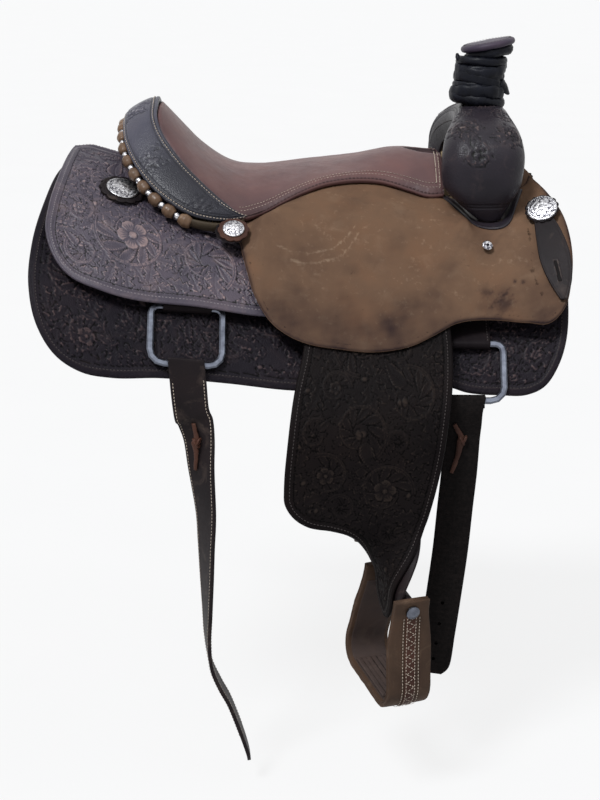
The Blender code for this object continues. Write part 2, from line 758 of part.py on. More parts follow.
# Stirrup leathers and fenders, in x and z
LEATHER_X = (79 * MM, 153 * MM)
LEATHER_MIDDLE = sum(LEATHER_X) / 2
FENDER = scaled([
    (66, -14), (42, -28), (24, -56), (10, -100), (2, -140), (-7, -175), (-15, -228), (-20, -288),
    (-19, -306), (-8, -324), (10, -336), (40, -343), (62, -352), (76, -366), (83, -384), (84, -410),
    (87, -436), (98, -452), (112, -462), (122, -458), (131, -445), (136, -425), (140, -405),
    (147, -372), (153, -350), (161, -326), (174, -274), (184, -215), (191, -160), (190, -110),
    (178, -66), (162, -34), (140, -16), (102, -10),
])
FENDER_BLACK = (0.02, 0.014, 0.013)
FENDER_GRID_X = [v * MM for v in (35, 75, 112, 150)]
FENDER_GRID_Z = [v * MM for v in (
    -60, -120, -165, -190, -218, -245, -300, -338, -356, -373, -390, -407, -424,
)]

for side, tag in ((-1, "off"), (1, "near")):
    slab("fender_" + tag, FENDER, FENDER_GRID_X, FENDER_GRID_Z,
         lambda x, z: hang(x, z, H_FENDER[0], side), lambda x, z: hang(x, z, H_FENDER[1], side),
         mat_for("fender_" + tag, FENDER_BLACK, 0.42))

# Stirrup leather: one strap that ends in an eye round the stirrup bolt
EYE_Z, EYE_DROP, EYE_RADIUS = -421 * MM, 8 * MM, BOLT_RADIUS + 3.4 * MM
EYE_WRAP, EYE_STEPS = 290, 10
# Centre of each stirrup bolt and the direction along it
bolts = {}
for side, tag in ((-1, "off"), (1, "near")):
    stations = []
    for z in [-14 * MM] + [z for z in FENDER_GRID_Z if z > EYE_Z + 10 * MM] + [EYE_Z]:
        left = hang(LEATHER_X[0], z, STIRRUP_LEATHER / 2, side)
        right = hang(LEATHER_X[1], z, STIRRUP_LEATHER / 2, side)
        inner, outer = hang(LEATHER_MIDDLE, z, 0, side), hang(LEATHER_MIDDLE, z, STIRRUP_LEATHER, side)
        width = right - left
        stations.append(((left + right) / 2, width.normalized(), (outer - inner).normalized(),
                         width.length / 2, STIRRUP_LEATHER))
    end, across, normal, half, thick = stations[-1]
    down = end - stations[-2][0]
    down = (down - across * down.dot(across)).normalized()
    normal = (normal - across * normal.dot(across) - down * normal.dot(down)).normalized()
    # The eye bends towards the inner side, so its centre lies inside the strap's line
    centre = end + down * EYE_DROP - normal * EYE_RADIUS
    bolts[side] = (centre, across)
    for k in range(EYE_STEPS + 1):
        turn = math.radians(EYE_WRAP * k / EYE_STEPS)
        out = normal * math.cos(turn) + down * math.sin(turn)
        stations.append((centre + out * EYE_RADIUS, across, out, half, thick))
    ribbon("stirrup_leather_" + tag, stations, mat_for("stirrup_leather_" + tag, DARK, 0.5))

# Stirrup: a bent frame, its bolt, and the leather-covered tread
STIRRUP_DROP = 137 * MM
TREAD_HALF = 44 * MM
# One arm from its top to the tread, as (across, up) from the bolt
ARM = scaled([(-46, 15), (-46.5, -8), (-52, -44), (-60, -80), (-66, -104), (-65, -119), (-58, -131)])
ARM.append((-TREAD_HALF, -STIRRUP_DROP))
BEND = ARM + [(0.0, -STIRRUP_DROP)] + [(-a, k) for a, k in reversed(ARM)]
# The frame's section, in parts of its half depth and half wall
WALL_SECTION = [
    (-1, -0.45), (-0.88, -1), (0.88, -1), (1, -0.45), (1, 0.45), (0.88, 1), (-0.88, 1), (-1, 0.45),
]
BOLT_HEAD, BOLT_HEAD_RADIUS = 4 * MM, 9 * MM
TREAD_THICK, TREAD_DEPTH_HALF = 4.2 * MM, 23.5 * MM
for side, tag in ((-1, "off"), (1, "near")):
    centre, across = bolts[side]
    up = Vector((0, 0, 1))
    up = (up - across * up.dot(across)).normalized()
    depth = across.cross(up).normalized()
    rings = []
    for i, (a, k) in enumerate(BEND):
        before, after = BEND[max(i - 1, 0)], BEND[min(i + 1, len(BEND) - 1)]
        run = Vector((after[0] - before[0], after[1] - before[1])).normalized()
        side_way = across * (-run.y) + up * run.x
        mid = centre + across * a + up * k
        wide = STIRRUP_DEPTH / 2 * (0.80 + 0.20 * smooth((8 * MM - k) / (60 * MM)))
        rings.append([
            mid + depth * (wide * w) + side_way * (STIRRUP_WALL / 2 * h) for w, h in WALL_SECTION
        ])
    body = loft("stirrup_" + tag, rings, mat_for("stirrup_" + tag, RAWHIDE, 0.55))
    bore = tube("bore_" + tag, [centre - across * 70 * MM, centre + across * 70 * MM],
                BOLT_RADIUS + 0.4 * MM, 12, mat_for("bore_" + tag, STEEL, 0.4))
    bore.hide_render = True
    bore.display_type = "WIRE"
    cut = body.modifiers.new("bolt bore", "BOOLEAN")
    cut.operation = "DIFFERENCE"
    cut.object = bore
    reach = -ARM[0][0] + STIRRUP_WALL / 2
    head = 2 * reach + BOLT_HEAD + 1.6 * MM
    turned("stirrup_bolt_" + tag,
           [(BOLT_RADIUS, 0), (BOLT_RADIUS, head), (BOLT_HEAD_RADIUS, head),
            (BOLT_HEAD_RADIUS, head + 2.4 * MM), (BOLT_RADIUS, head + 4.4 * MM)],
           centre - across * (reach + BOLT_HEAD), across, 12,
           mat_for("stirrup_bolt_" + tag, STEEL, 0.35, 1.0))
    tread_mid = centre + up * (STIRRUP_WALL / 2 + LAYER_GAP - STIRRUP_DROP)
    rows = []
    for a in (-43, -40, 40, 43):
        edge_cut = 1.2 * MM if abs(a) > 40 else 0.0
        rows.append([
            tread_mid + across * (a * MM) + depth * (w * TREAD_DEPTH_HALF) + up * h
            for w, h in ((-1, edge_cut), (1, edge_cut), (1, TREAD_THICK), (-1, TREAD_THICK))
        ])
    loft("stirrup_tread_" + tag, rows, mat_for("stirrup_tread_" + tag, DARK, 0.6))


# Dees, the leather that holds them, and the straps that hang from them
def dee_frame(dee, side):
    """Frame of the dee's flat: origin in the middle of its top bar, on the dee's mid-plane."""
    point, ahead, down, out = frame_on(dee["x"], dee["s"], D_RIG, side)

    def rise(u, v):
        return out.dot(back(dee["x"] + u, dee["s"] + v, D_RIG, side) - point)

    half, tall = dee["half"], dee["height"] / 2
    steps = (-1, -0.5, 0, 0.5, 1)
    flat = max(rise(u * half, v * tall) for u in steps for v in steps) + DEE_THICK / 2 + 0.5 * MM
    loops = max(rise(u * BILLET_WIDTH / 2, v * (tall - DEE_BAR / 2)) for u in steps for v in (-1, 1))
    loops += DEE_LOOP + PLY / 2 + 0.5 * MM
    top = point + out * max(flat, loops) - down * (tall - DEE_BAR / 2)
    return top, ahead, down, out


def dee_ring(name, dee, side, mat):
    top, ahead, down, out = dee_frame(dee, side)
    half, tall = dee["half"] - DEE_BAR / 2, dee["height"] - DEE_BAR
    line = []
    for sign_x, y, start in ((1, 0, -90), (1, tall, 0), (-1, tall, 90), (-1, 0, 180)):
        r = DEE_CORNER if y == 0 else DEE_ROUND
        mid_x, mid_y = sign_x * (half - r), y + (r if y == 0 else -r)
        for k in range(4):
            turn = math.radians(start + 30 * k)
            nx, ny = math.cos(turn), math.sin(turn)
            line.append((mid_x + r * nx, mid_y + r * ny, nx, ny))
    w, t = DEE_BAR / 2, DEE_THICK / 2
    profile = ((w, -1.2 * MM), (w, 1.2 * MM), (2.4 * MM, t), (-2.4 * MM, t),
               (-w, 1.2 * MM), (-w, -1.2 * MM), (-2.4 * MM, -t), (2.4 * MM, -t))
    rings = []
    for x, y, nx, ny in line:
        rings.append([top + ahead * (x + nx * p) + down * (y + ny * p) + out * q for p, q in profile])
    return loft(name, rings, mat, closed=True)


def bar_loop(way):
    """(down, out) points of a half circle round a dee's bar, on its lower side for way 1."""
    return [
        (way * DEE_LOOP * math.sin(math.radians(a)), -DEE_LOOP * math.cos(math.radians(a)))
        for a in (0, 30, 60, 90, 120, 150, 180)
    ]


def with_normals(points, down, out):
    """(point, normal) for a line of points in the plane of down and out."""
    made = []
    for i, here in enumerate(points):
        run = points[min(i + 1, len(points) - 1)] - points[max(i - 1, 0)]
        run = Vector((run.dot(down), run.dot(out))).normalized()
        made.append((here, down * -run.y + out * run.x))
    return made


def lying(x, s, d, side, half, thick):
    """Station of a strap that lies flat on the layer at d, clear of it across its width."""
    here, ahead, down, out = frame_on(x, s, d, side)
    rise = max(out.dot(back(x + u * half, s, d, side) - here) for u in (-1, -0.5, 0.5, 1))
    return here + out * (max(rise, 0.0) + thick / 2 + 0.5 * MM), ahead, out, half, thick


RIG_HALF = 31 * MM


def rig_lying(dee, side, steps, d):
    """Stations of the dee's holder, flat on the layer at d, up the side from the dee's top bar."""
    bar_s = dee["s"] - (dee["height"] - DEE_BAR) / 2
    return [lying(dee["x"], bar_s - step * MM, d, side, RIG_HALF, PLY) for step in steps]


for dee, kind in ((REAR_DEE, "rear"), (FRONT_DEE, "front")):
    for side, tag in ((-1, "off"), (1, "near")):
        dee_ring(kind + "_dee_" + tag, dee, side, mat_for(kind + "_dee_" + tag, STEEL, 0.3, 1.0))
        top, ahead, down, out = dee_frame(dee, side)
        under = rig_lying(dee, side, (72, 52, 34, 20), D_RIG)
        over = rig_lying(dee, side, (22, 38), D_RIG + PLY + 1.2 * MM)
        loop = [top + down * p + out * q for p, q in bar_loop(1)]
        loop = [(p, ahead, n, RIG_HALF, PLY) for p, n in with_normals(loop, down, out)]
        ribbon("rig_" + kind + "_" + tag, under + loop + [(c, a, -n, h, t) for c, a, n, h, t in over],
               mat_for("rig_" + kind + "_" + tag, DARK, 0.45))


def strap_stations(dee, side, line, twist, shift):
    """A strap looped round the dee's lower bar, then down a line of (x, z, half width) in millimetres."""
    top, ahead, down, out = dee_frame(dee, side)
    bar = top + down * (dee["height"] - DEE_BAR)
    points = [bar + down * p + out * q for p, q in [(8 * MM, -DEE_LOOP)] + bar_loop(-1)]
    stations = [(p, ahead, n, BILLET_WIDTH / 2, PLY) for p, n in with_normals(points, down, out)]
    outward = Vector((0, side, 0))
    for i, station in enumerate(line):
        x, z, half = (value * MM for value in station)
        a, b = line[max(i - 1, 0)], line[min(i + 1, len(line) - 1)]
        run = Vector((b[0] - a[0], 0, b[1] - a[1])).normalized()
        flat = outward.cross(run)
        flat = -flat if flat.x < 0 else flat
        turn = math.radians(twist[i])
        across = flat * math.cos(turn) + outward * math.sin(turn)
        normal = outward * math.cos(turn) - flat * math.sin(turn)
        y = bar.y + side * (shift + (STRAP_START - shift) * max(0.0, 1 - i / 2))
        stations.append((Vector((x, y, z)), across, normal, half, BILLET))
    return stations


def lace(name, stations, first, line):
    """A lace, its knot and its tail on a strap's outer face, as (offset, half width) at the stations."""
    made = []
    lift = BILLET / 2 + 0.8 * MM + LACE / 2
    for i, (offset, half) in enumerate(line):
        centre, across, normal = stations[first + 1 + i][:3]
        made.append((centre + across * (offset * MM) + normal * lift, across, normal, half * MM, LACE))
    return ribbon(name, made, mat_for(name, SEAT_BROWN, 0.5))


LACE = 3.2 * MM
REAR_LINE = [
    (-137, -198, 23), (-132, -214, 23), (-128, -240, 22), (-126, -278, 21.5), (-121, -337, 21),
    (-121, -380, 21), (-121, -423, 21), (-121, -472, 21), (-121, -510, 21), (-117, -545, 20.5),
    (-106, -573, 20.5), (-93, -599, 20), (-78, -641, 20), (-70, -668, 15), (-68, -680, 8),
]
# How far outside its bar each strap hangs, to balance under it
HANG_SHIFT = {"rear_billet": -4.2 * MM, "off_billet": 0.1 * MM, "latigo": -1.3 * MM}
STRAP_START = 5 * MM
REAR_TWIST = [0, 8, 25, 38, 52, 60, 66, 74, 80, 84, 86, 86, 86, 86, 86]
OFF_LINE = [
    (209, -202, 23), (208, -220, 23), (206.5, -240, 23), (204, -285, 23), (200, -330, 23),
    (195, -390, 23), (188, -450, 23), (181, -505, 23), (175, -548, 23), (173, -562, 14),
]
rear_stations = strap_stations(REAR_DEE, -1, REAR_LINE, REAR_TWIST, HANG_SHIFT["rear_billet"])
ribbon("rear_billet_off", rear_stations, mat_for("rear_billet_off", DARK, 0.45))
rear_first = len(rear_stations) - len(REAR_LINE)
lace("rear_billet_lace", rear_stations, rear_first, [(-2, 3), (0, 8), (-6, 4)])
LATIGO_LINE = OFF_LINE[:5] + [(198, -345, 12)]
for name, side, line, color in (("off_billet", -1, OFF_LINE, WEB), ("latigo", 1, LATIGO_LINE, SEAT_BROWN)):
    stations = strap_stations(FRONT_DEE, side, line, [0] * len(line), HANG_SHIFT[name])
    ribbon(name, stations, mat_for(name, color, 0.6))
    first = len(stations) - len(line)
    lace(name + "_lace", stations, first, [(-12, 3), (1, 8), (-10, 4)])

# Near rear billet, put up: folded back on itself three times below its dee
top, ahead, down, out = dee_frame(REAR_DEE, 1)
bar = top + down * (REAR_DEE["height"] - DEE_BAR)
folded = [bar + down * p + out * q for p, q in [(8 * MM, -DEE_LOOP)] + bar_loop(-1)]
FOLD, FOLD_LOW, FOLD_HIGH, FOLD_OUT = 7 * MM, -292 * MM, -206 * MM, 5.4 * MM
plumb, outward = Vector((0, 0, -1)), Vector((0, 1, 0))
hang_at = Vector((folded[-1].x, bar.y + FOLD_OUT, folded[-1].z - 14 * MM))
folded += [hang_at, Vector((hang_at.x, hang_at.y, FOLD_LOW + 20 * MM))]
for k, (z, way) in enumerate(((FOLD_LOW, -1), (FOLD_HIGH, 1))):
    for turn in (20, 60, 90, 120, 160):
        angle = math.radians(turn)
        inward = FOLD * k + FOLD / 2 * (1 - math.cos(angle))
        high = z + way * FOLD / 2 * math.sin(angle)
        folded.append(Vector((hang_at.x, hang_at.y - inward, high)))
folded.append(Vector((hang_at.x, hang_at.y - 2 * FOLD, FOLD_LOW + 14 * MM)))
ribbon("rear_billet_near",
       [(p, ahead, n, BILLET_WIDTH / 2, PLY) for p, n in with_normals(folded, plumb, outward)],
       mat_for("rear_billet_near", DARK, 0.45))

# Horn: a steel post, a winding of rubber strip on it, and the cap
HORN_BASE = Vector((239 * MM, 0, 162 * MM))
HORN_TOP = Vector((246 * MM, 0, 227 * MM))
CAP_MIDDLE = Vector((254 * MM, 0, 233.5 * MM))
horn_axis = (HORN_TOP - HORN_BASE).normalized()
horn_long = (HORN_TOP - HORN_BASE).length
POST = [(0.0, 26), (0.18, 24), (0.45, 21.5), (0.72, 22), (0.92, 24), (1.0, 14)]
post_rings = [(r * MM, t * horn_long) for t, r in POST]
turned("horn_post", post_rings, HORN_BASE, horn_axis, 16, mat_for("horn_post", BLACK, 0.5, 0.6))

WRAP_RADIUS = 5.0 * MM
WRAP_TURNS, WRAP_POINTS = 5, 24
wrap_low, wrap_high = WRAP_RADIUS + 0.8 * MM, horn_long - WRAP_RADIUS - 0.8 * MM
side_a = horn_axis.orthogonal().normalized()
side_b = horn_axis.cross(side_a)
wrap = []
for k in range(WRAP_TURNS * WRAP_POINTS + 1):
    t = k / (WRAP_TURNS * WRAP_POINTS)
    height = wrap_low + (wrap_high - wrap_low) * t
    around = table([(a * horn_long, r * MM) for a, r in POST[:-1]], height) + WRAP_RADIUS + 1.2 * MM
    turn = 2 * math.pi * k / WRAP_POINTS
    wrap.append(HORN_BASE + horn_axis * height + (side_a * math.cos(turn) + side_b * math.sin(turn)) * around)
least = min(
    (wrap[i] - wrap[j]).length - 2 * WRAP_RADIUS
    for i in range(len(wrap)) for j in range(i + 18, min(i + 31, len(wrap)))
)
print(f"horn wrap: {WRAP_TURNS} turns, least gap to itself {least / MM:.2f} mm")
tube("horn_wrap", wrap, WRAP_RADIUS, 6, mat_for("horn_wrap", BLACK, 0.6))

CAP_TILT = math.radians(12)
cap_axis = Vector((-math.sin(CAP_TILT) * 0.9, 0, math.cos(CAP_TILT))).normalized()
CAP_PROFILE = scaled([(34, 0), (36.5, 3), (36, 7), (30, 9), (12, 9.5)])
turned("horn_cap", CAP_PROFILE, CAP_MIDDLE, cap_axis, 24, mat_for("horn_cap", BLACK, 0.45))


# Conchos, rosettes and screws, on the outer face of what they fasten
def on_face(x, s, high, side):
    """Frame on a panel's outer face whose height over the back is high(x, s)."""
    step = 4 * MM
    here = back(x, s, high(x, s), side)
    ahead = back(x + step, s, high(x + step, s), side) - back(x - step, s, high(x - step, s), side)
    down = back(x, s + step, high(x, s + step), side) - back(x, s - step, high(x, s - step), side)
    out = ahead.cross(down).normalized()
    if out.y * side < 0:
        out = -out
    return here, out


def tree_of(obj):
    obj.data.calc_loop_triangles()
    corners = [v.co for v in obj.data.vertices]
    return BVHTree.FromPolygons(corners, [tuple(t.vertices) for t in obj.data.loop_triangles])


def rise_over(tree, points, out):
    """How far the faces of the panel stand above the points, along out."""
    found = []
    for p in points:
        hit = tree.ray_cast(p + out * 40 * MM, -out, 80 * MM)[0]
        if hit:
            found.append((hit - p).dot(out))
    return max(found)


def seat_on(x, s, high, side, radius, tree):
    """Centre and axis of a flat disc that just clears the panel under it."""
    here, out = on_face(x, s, high, side)
    a = out.orthogonal().normalized()
    b = out.cross(a)
    spots = [here] + [
        here + (a * math.cos(k * math.pi / 12) + b * math.sin(k * math.pi / 12)) * radius * part
        for k in range(24) for part in (0.25, 0.5, 0.75, 1.0)
    ]
    return here + out * rise_over(tree, spots, out), out


def disc(name, centre, axis, radius, rows, sides, mat, scallop=0.0):
    """A turned disc; a scalloped one has a wavy rim."""
    a = axis.orthogonal().normalized()
    b = axis.cross(a)
    rings = []
    for scale, height in rows:
        ring = []
        for k in range(sides):
            reach = radius * scale * (1 - scallop * (k % 2))
            turn = 2 * math.pi * k / sides
            ring.append(centre + axis * height + (a * math.cos(turn) + b * math.sin(turn)) * reach)
        rings.append(ring)
    return loft(name, rings, mat)


def rear_high(x, s):
    return rear_jockey_d(x, s) + JOCKEY_LEATHER


ROSETTE, ROSETTE_LIFT = 2.4 * MM, 0.8 * MM
SCREW_RADIUS = 7 * MM
trees = {}
for tag in ("off", "near"):
    trees["rear", tag] = tree_of(bpy.data.objects["rear_jockey_" + tag])
    trees["seat", tag] = tree_of(bpy.data.objects["seat_jockey_" + tag])
CONCHO = [(1.0, 0), (1.0, 1.6 * MM), (0.86, 2.6 * MM), (0.45, 4.4 * MM)]
for side, tag in ((-1, "off"), (1, "near")):
    spots = (
        ("rear", -233 * MM, 102 * MM, rear_high, 30 * MM, 21.5 * MM),
        ("seat", -86 * MM, 145 * MM, jockey_high, 20.5 * MM, 14 * MM),
    )
    for kind, x, s, high, wide, silver in spots:
        here, out = seat_on(x, s, high, side, wide, trees[kind, tag])
        disc("rosette_" + kind + "_" + tag, here + out * ROSETTE_LIFT, out, wide,
             [(1.0, 0), (1.0, ROSETTE)], 24, mat_for("rosette_" + kind + "_" + tag, DARK, 0.5), 0.10)
        seat_at = here + out * (ROSETTE_LIFT + ROSETTE + 0.3 * MM)
        disc("concho_" + kind + "_" + tag, seat_at, out, silver, CONCHO, 20,
             mat_for("concho_" + kind + "_" + tag, SILVER, 0.25, 1.0))
    here, out = seat_on(241 * MM, 147 * MM, jockey_high, side, SCREW_RADIUS, trees["seat", tag])
    disc("jockey_screw_" + tag, here + out * 0.4 * MM, out, SCREW_RADIUS,
         [(1.0, 0), (1.0, 1.2 * MM), (0.5, 2.6 * MM)], 14,
         mat_for("jockey_screw_" + tag, SILVER, 0.3, 1.0))

# Rope strap and latigo keeper, each hung from its front concho
KEEPER_X, KEEPER_S = 318 * MM, 112 * MM
KEEPER_THICK, KEEPER_LIFT = 3.4 * MM, 4.0 * MM
FRONT_CONCHO_RADIUS = 20 * MM
keeper_axes = {}
KEEPER_LINE = [
    (317, 97, 7), (317, 103, 12), (317, 114, 13), (318, 124, 12), (322, 143, 16), (327, 172, 19.5),
    (330, 192, 19), (334, 217, 14), (336, 240, 4),
]
for side, tag, name in ((-1, "off", "rope_strap"), (1, "near", "latigo_keeper")):
    here, out = on_face(KEEPER_X, KEEPER_S, jockey_high, side)
    lying_on = []
    for x, s, half in KEEPER_LINE:
        u, v = x * MM, s * MM
        face, up = on_face(u, v, jockey_high, side)
        ahead = (back(u + 3 * MM, v, 0.05, side) - back(u - 3 * MM, v, 0.05, side)).normalized()
        width = [face + ahead * (half * part * MM) for part in (-1, -0.5, 0, 0.5, 1)]
        rise = rise_over(trees["seat", tag], width, up)
        lying_on.append((face + up * (rise + KEEPER_LIFT), up, half * MM))
    keeper_axes[name] = (here, out)
    stations = []
    for i, (mid, up, half) in enumerate(lying_on):
        a, b = lying_on[max(i - 1, 0)][0], lying_on[min(i + 1, len(lying_on) - 1)][0]
        across = up.cross((b - a).normalized()).normalized()
        stations.append((mid, across, up, half, KEEPER_THICK))
    strap = ribbon(name, stations, mat_for(name, DARK, 0.45))
    spots = [
        here + across * (u * MM) + across.cross(out) * (v * MM)
        for u in (-10, 0, 10) for v in (-16, -8, 0, 8, 16)
    ]
    seat_at = here + out * (rise_over(tree_of(strap), spots, out) - 0.3 * MM)
    disc("concho_front_" + tag, seat_at, out, FRONT_CONCHO_RADIUS, CONCHO, 20,
         mat_for("concho_front_" + tag, SILVER, 0.25, 1.0))


# Hinges: an empty on each joint's axis carries what turns there, one for the saddle the rest
def middle(obj):
    corners = [Vector(c) for c in obj.bound_box]
    return (corners[0] + corners[6]) / 2


def set_origin(obj, at):
    obj.data.transform(Matrix.Translation(-at))
    obj.location = at


def make_empty(name, at, axis):
    empty = bpy.data.objects.new(name, None)
    empty.empty_display_size = 30 * MM
    empty.location = at
    empty.rotation_mode = "QUATERNION"
    empty.rotation_quaternion = axis.to_track_quat("X", "Z")
    bpy.context.scene.collection.objects.link(empty)
    frames[name] = Matrix.LocRotScale(at, empty.rotation_quaternion, None)
    return empty


def hang_on(child, parent):
    child.parent = parent
    child.matrix_parent_inverse = frames[parent.name].inverted()


def hinge(name, at, axis, parent, pieces):
    """An empty at the joint, with its X along the axis; its pieces' origins lie on it."""
    empty = make_empty("hinge_" + name, at, axis)
    hang_on(empty, parent)
    for piece in pieces:
        obj = bpy.data.objects[piece]
        set_origin(obj, at)
        hang_on(obj, empty)
        moving.add(piece)
    print(f"hinge {name}: at {at.x:.5f} {at.y:.5f} {at.z:.5f}, axis {axis.x:.5f} {axis.y:.5f} {axis.z:.5f}")
    return empty


# Each side's dees: the sense of their joint's axis, and the strap that each carries
DEE_STRAPS = {
    -1: ((FRONT_DEE, "front_dee_", 1, ["off_billet", "off_billet_lace"]),
         (REAR_DEE, "rear_dee_", -1, ["rear_billet_off", "rear_billet_lace"])),
    1: ((FRONT_DEE, "front_dee_", -1, ["latigo", "latigo_lace"]),
        (REAR_DEE, "rear_dee_", 1, ["rear_billet_near"])),
}
frames, moving = {}, set()
saddle = make_empty("saddle", Vector((0, 0, 0)), Vector((1, 0, 0)))
for side, tag in ((-1, "off"), (1, "near")):
    pivot_x = FENDER_PIVOT_X[side]
    at = Vector((pivot_x, side * hang_y(pivot_x, FENDER_PIVOT_Z), FENDER_PIVOT_Z))
    forward = Vector((NX, side * NY, NZ)) * -side
    swing = hinge("fender_" + tag, at, forward, saddle, ["fender_" + tag, "stirrup_leather_" + tag])
    hinge("stirrup_" + tag, bolts[side][0], bolts[side][1] * side, swing,
          ["stirrup_" + tag, "stirrup_bolt_" + tag, "stirrup_tread_" + tag, "bore_" + tag])
    for dee, kind, way, strap in DEE_STRAPS[side]:
        top, ahead, down, out = dee_frame(dee, side)
        ring = hinge(kind + tag, top, ahead * way, saddle, [kind + tag])
        hinge(strap[0], top + down * (dee["height"] - DEE_BAR), ahead * way, ring, strap)
for name, tag in (("rope_strap", "off"), ("latigo_keeper", "near")):
    hinge(name, *keeper_axes[name], saddle, [name])
for obj in list(bpy.data.objects):
    if obj.type == "MESH" and obj.name not in moving:
        set_origin(obj, middle(obj))
        hang_on(obj, saddle)
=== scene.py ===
"""Looks of the roping saddle: leathers with their tooling, stitching, hardware, wool and rubber."""

import math

import bmesh
import bpy
import numpy as np
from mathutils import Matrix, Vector
from mathutils.bvhtree import BVHTree
from mathutils.geometry import delaunay_2d_cdt


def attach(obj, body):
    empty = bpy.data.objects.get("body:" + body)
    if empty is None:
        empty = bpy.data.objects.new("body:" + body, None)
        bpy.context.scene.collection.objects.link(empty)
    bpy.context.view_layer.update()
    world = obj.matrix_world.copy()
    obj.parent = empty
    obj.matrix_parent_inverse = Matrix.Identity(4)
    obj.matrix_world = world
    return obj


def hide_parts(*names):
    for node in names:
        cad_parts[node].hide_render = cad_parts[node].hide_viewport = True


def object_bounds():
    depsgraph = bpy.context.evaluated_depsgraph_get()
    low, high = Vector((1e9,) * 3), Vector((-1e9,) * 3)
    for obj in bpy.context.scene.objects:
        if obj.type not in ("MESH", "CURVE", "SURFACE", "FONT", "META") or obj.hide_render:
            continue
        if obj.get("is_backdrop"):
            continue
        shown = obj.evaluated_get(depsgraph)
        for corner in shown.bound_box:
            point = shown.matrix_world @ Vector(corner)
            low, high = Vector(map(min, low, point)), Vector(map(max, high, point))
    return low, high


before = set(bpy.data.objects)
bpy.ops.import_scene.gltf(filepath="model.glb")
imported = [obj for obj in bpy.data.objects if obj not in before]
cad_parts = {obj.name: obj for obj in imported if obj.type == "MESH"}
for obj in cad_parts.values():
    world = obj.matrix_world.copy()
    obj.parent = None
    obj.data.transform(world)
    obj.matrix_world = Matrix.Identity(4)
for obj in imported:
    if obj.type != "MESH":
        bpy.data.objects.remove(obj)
cad_low, cad_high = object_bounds()
MM = 0.001
SIDES = ((-1, "off"), (1, "near"))

# ---------------------------------------------------------------- the saddle's own shapes
SPINE_REAR_RISE, SPINE_FRONT_RISE, SPINE_RUN = 64 * MM, 47 * MM, 300 * MM
TOP_SLOPE_MID, TOP_SLOPE_REAR, TOP_SLOPE_FRONT = 12.0, 6.0, 28.0
LOW_SLOPE, SIDE_RUN = 65.5, 340 * MM
LAYER_GAP, FLEECE, SKIRT_LEATHER, JOCKEY_LEATHER = 0.6 * MM, 14 * MM, 5.4 * MM, 4.5 * MM
STIRRUP_LEATHER, FENDER_LEATHER, PLY, BILLET = 4.5 * MM, 4.5 * MM, 2.3 * MM, 4.6 * MM
D_SKIRT = FLEECE + LAYER_GAP
D_BAR_TOP = D_SKIRT + SKIRT_LEATHER + LAYER_GAP + 18 * MM
D_RIG = D_SKIRT + SKIRT_LEATHER + LAYER_GAP


def smooth(t):
    """0 to 1, level at both ends."""
    t = np.clip(t, 0, 1)
    return t * t * (3 - 2 * t)


def unit(v):
    """Vectors of length 1 along v."""
    v = np.asarray(v, float)
    return v / np.maximum(np.linalg.norm(v, axis=-1, keepdims=True), 1e-12)


def travelled(points):
    """How far along the line through the points each of them lies."""
    return np.concatenate([[0], np.cumsum(np.linalg.norm(np.diff(points, axis=0), axis=1))])


def curve_of(points):
    """A smooth function through (x, value) pairs."""
    last = len(points) - 1
    xs, ys = [], []
    for i in range(last):
        a, b = points[i], points[i + 1]
        run = b[0] - a[0]
        slopes = []
        for k in (i, i + 1):
            p, q = points[max(k - 1, 0)], points[min(k + 1, last)]
            slopes.append((q[1] - p[1]) / (q[0] - p[0]))
        for t in np.linspace(0, 1, 24, endpoint=i == last - 1):
            xs.append(a[0] + run * t)
            ys.append(a[1] * (1 + 2 * t) * (1 - t) ** 2 + slopes[0] * run * t * (1 - t) ** 2
                      + b[1] * t * t * (3 - 2 * t) + slopes[1] * run * t * t * (t - 1))
    return lambda x: np.interp(x, xs, ys)


def section(x):
    """Radius, slope of the top and rise of the back's cross section at x."""
    x = np.asarray(x, float)
    part = np.abs(x) / SPINE_RUN
    end = np.where(x < 0, TOP_SLOPE_REAR, TOP_SLOPE_FRONT)
    top = np.radians(TOP_SLOPE_MID + (end - TOP_SLOPE_MID) * np.minimum(part, 1.2))
    rise = np.where(x < 0, SPINE_REAR_RISE * part**1.4, SPINE_FRONT_RISE * part**2.6)
    return SIDE_RUN / (math.radians(LOW_SLOPE) - top), top, rise


def back(x, s, d, side=1):
    """The point s down the back's curve from the middle and d over it."""
    radius, top, rise = section(x)
    angle = top + s / radius
    across = -radius * np.sin(top) + (radius + d) * np.sin(angle)
    up = rise - radius * np.cos(top) + (radius + d) * np.cos(angle)
    return np.stack(np.broadcast_arrays(x, side * across, up), -1)


def back_sd(x, across, up):
    """s and d of a point: back() the other way round."""
    radius, top, rise = section(x)
    p, q = across + radius * np.sin(top), up - rise + radius * np.cos(top)
    return (np.arctan2(p, q) - top) * radius, np.hypot(p, q) - radius


def vec(p):
    return Vector([float(v) for v in p])


def scaled(points):
    return [tuple(v * MM for v in p) for p in points]


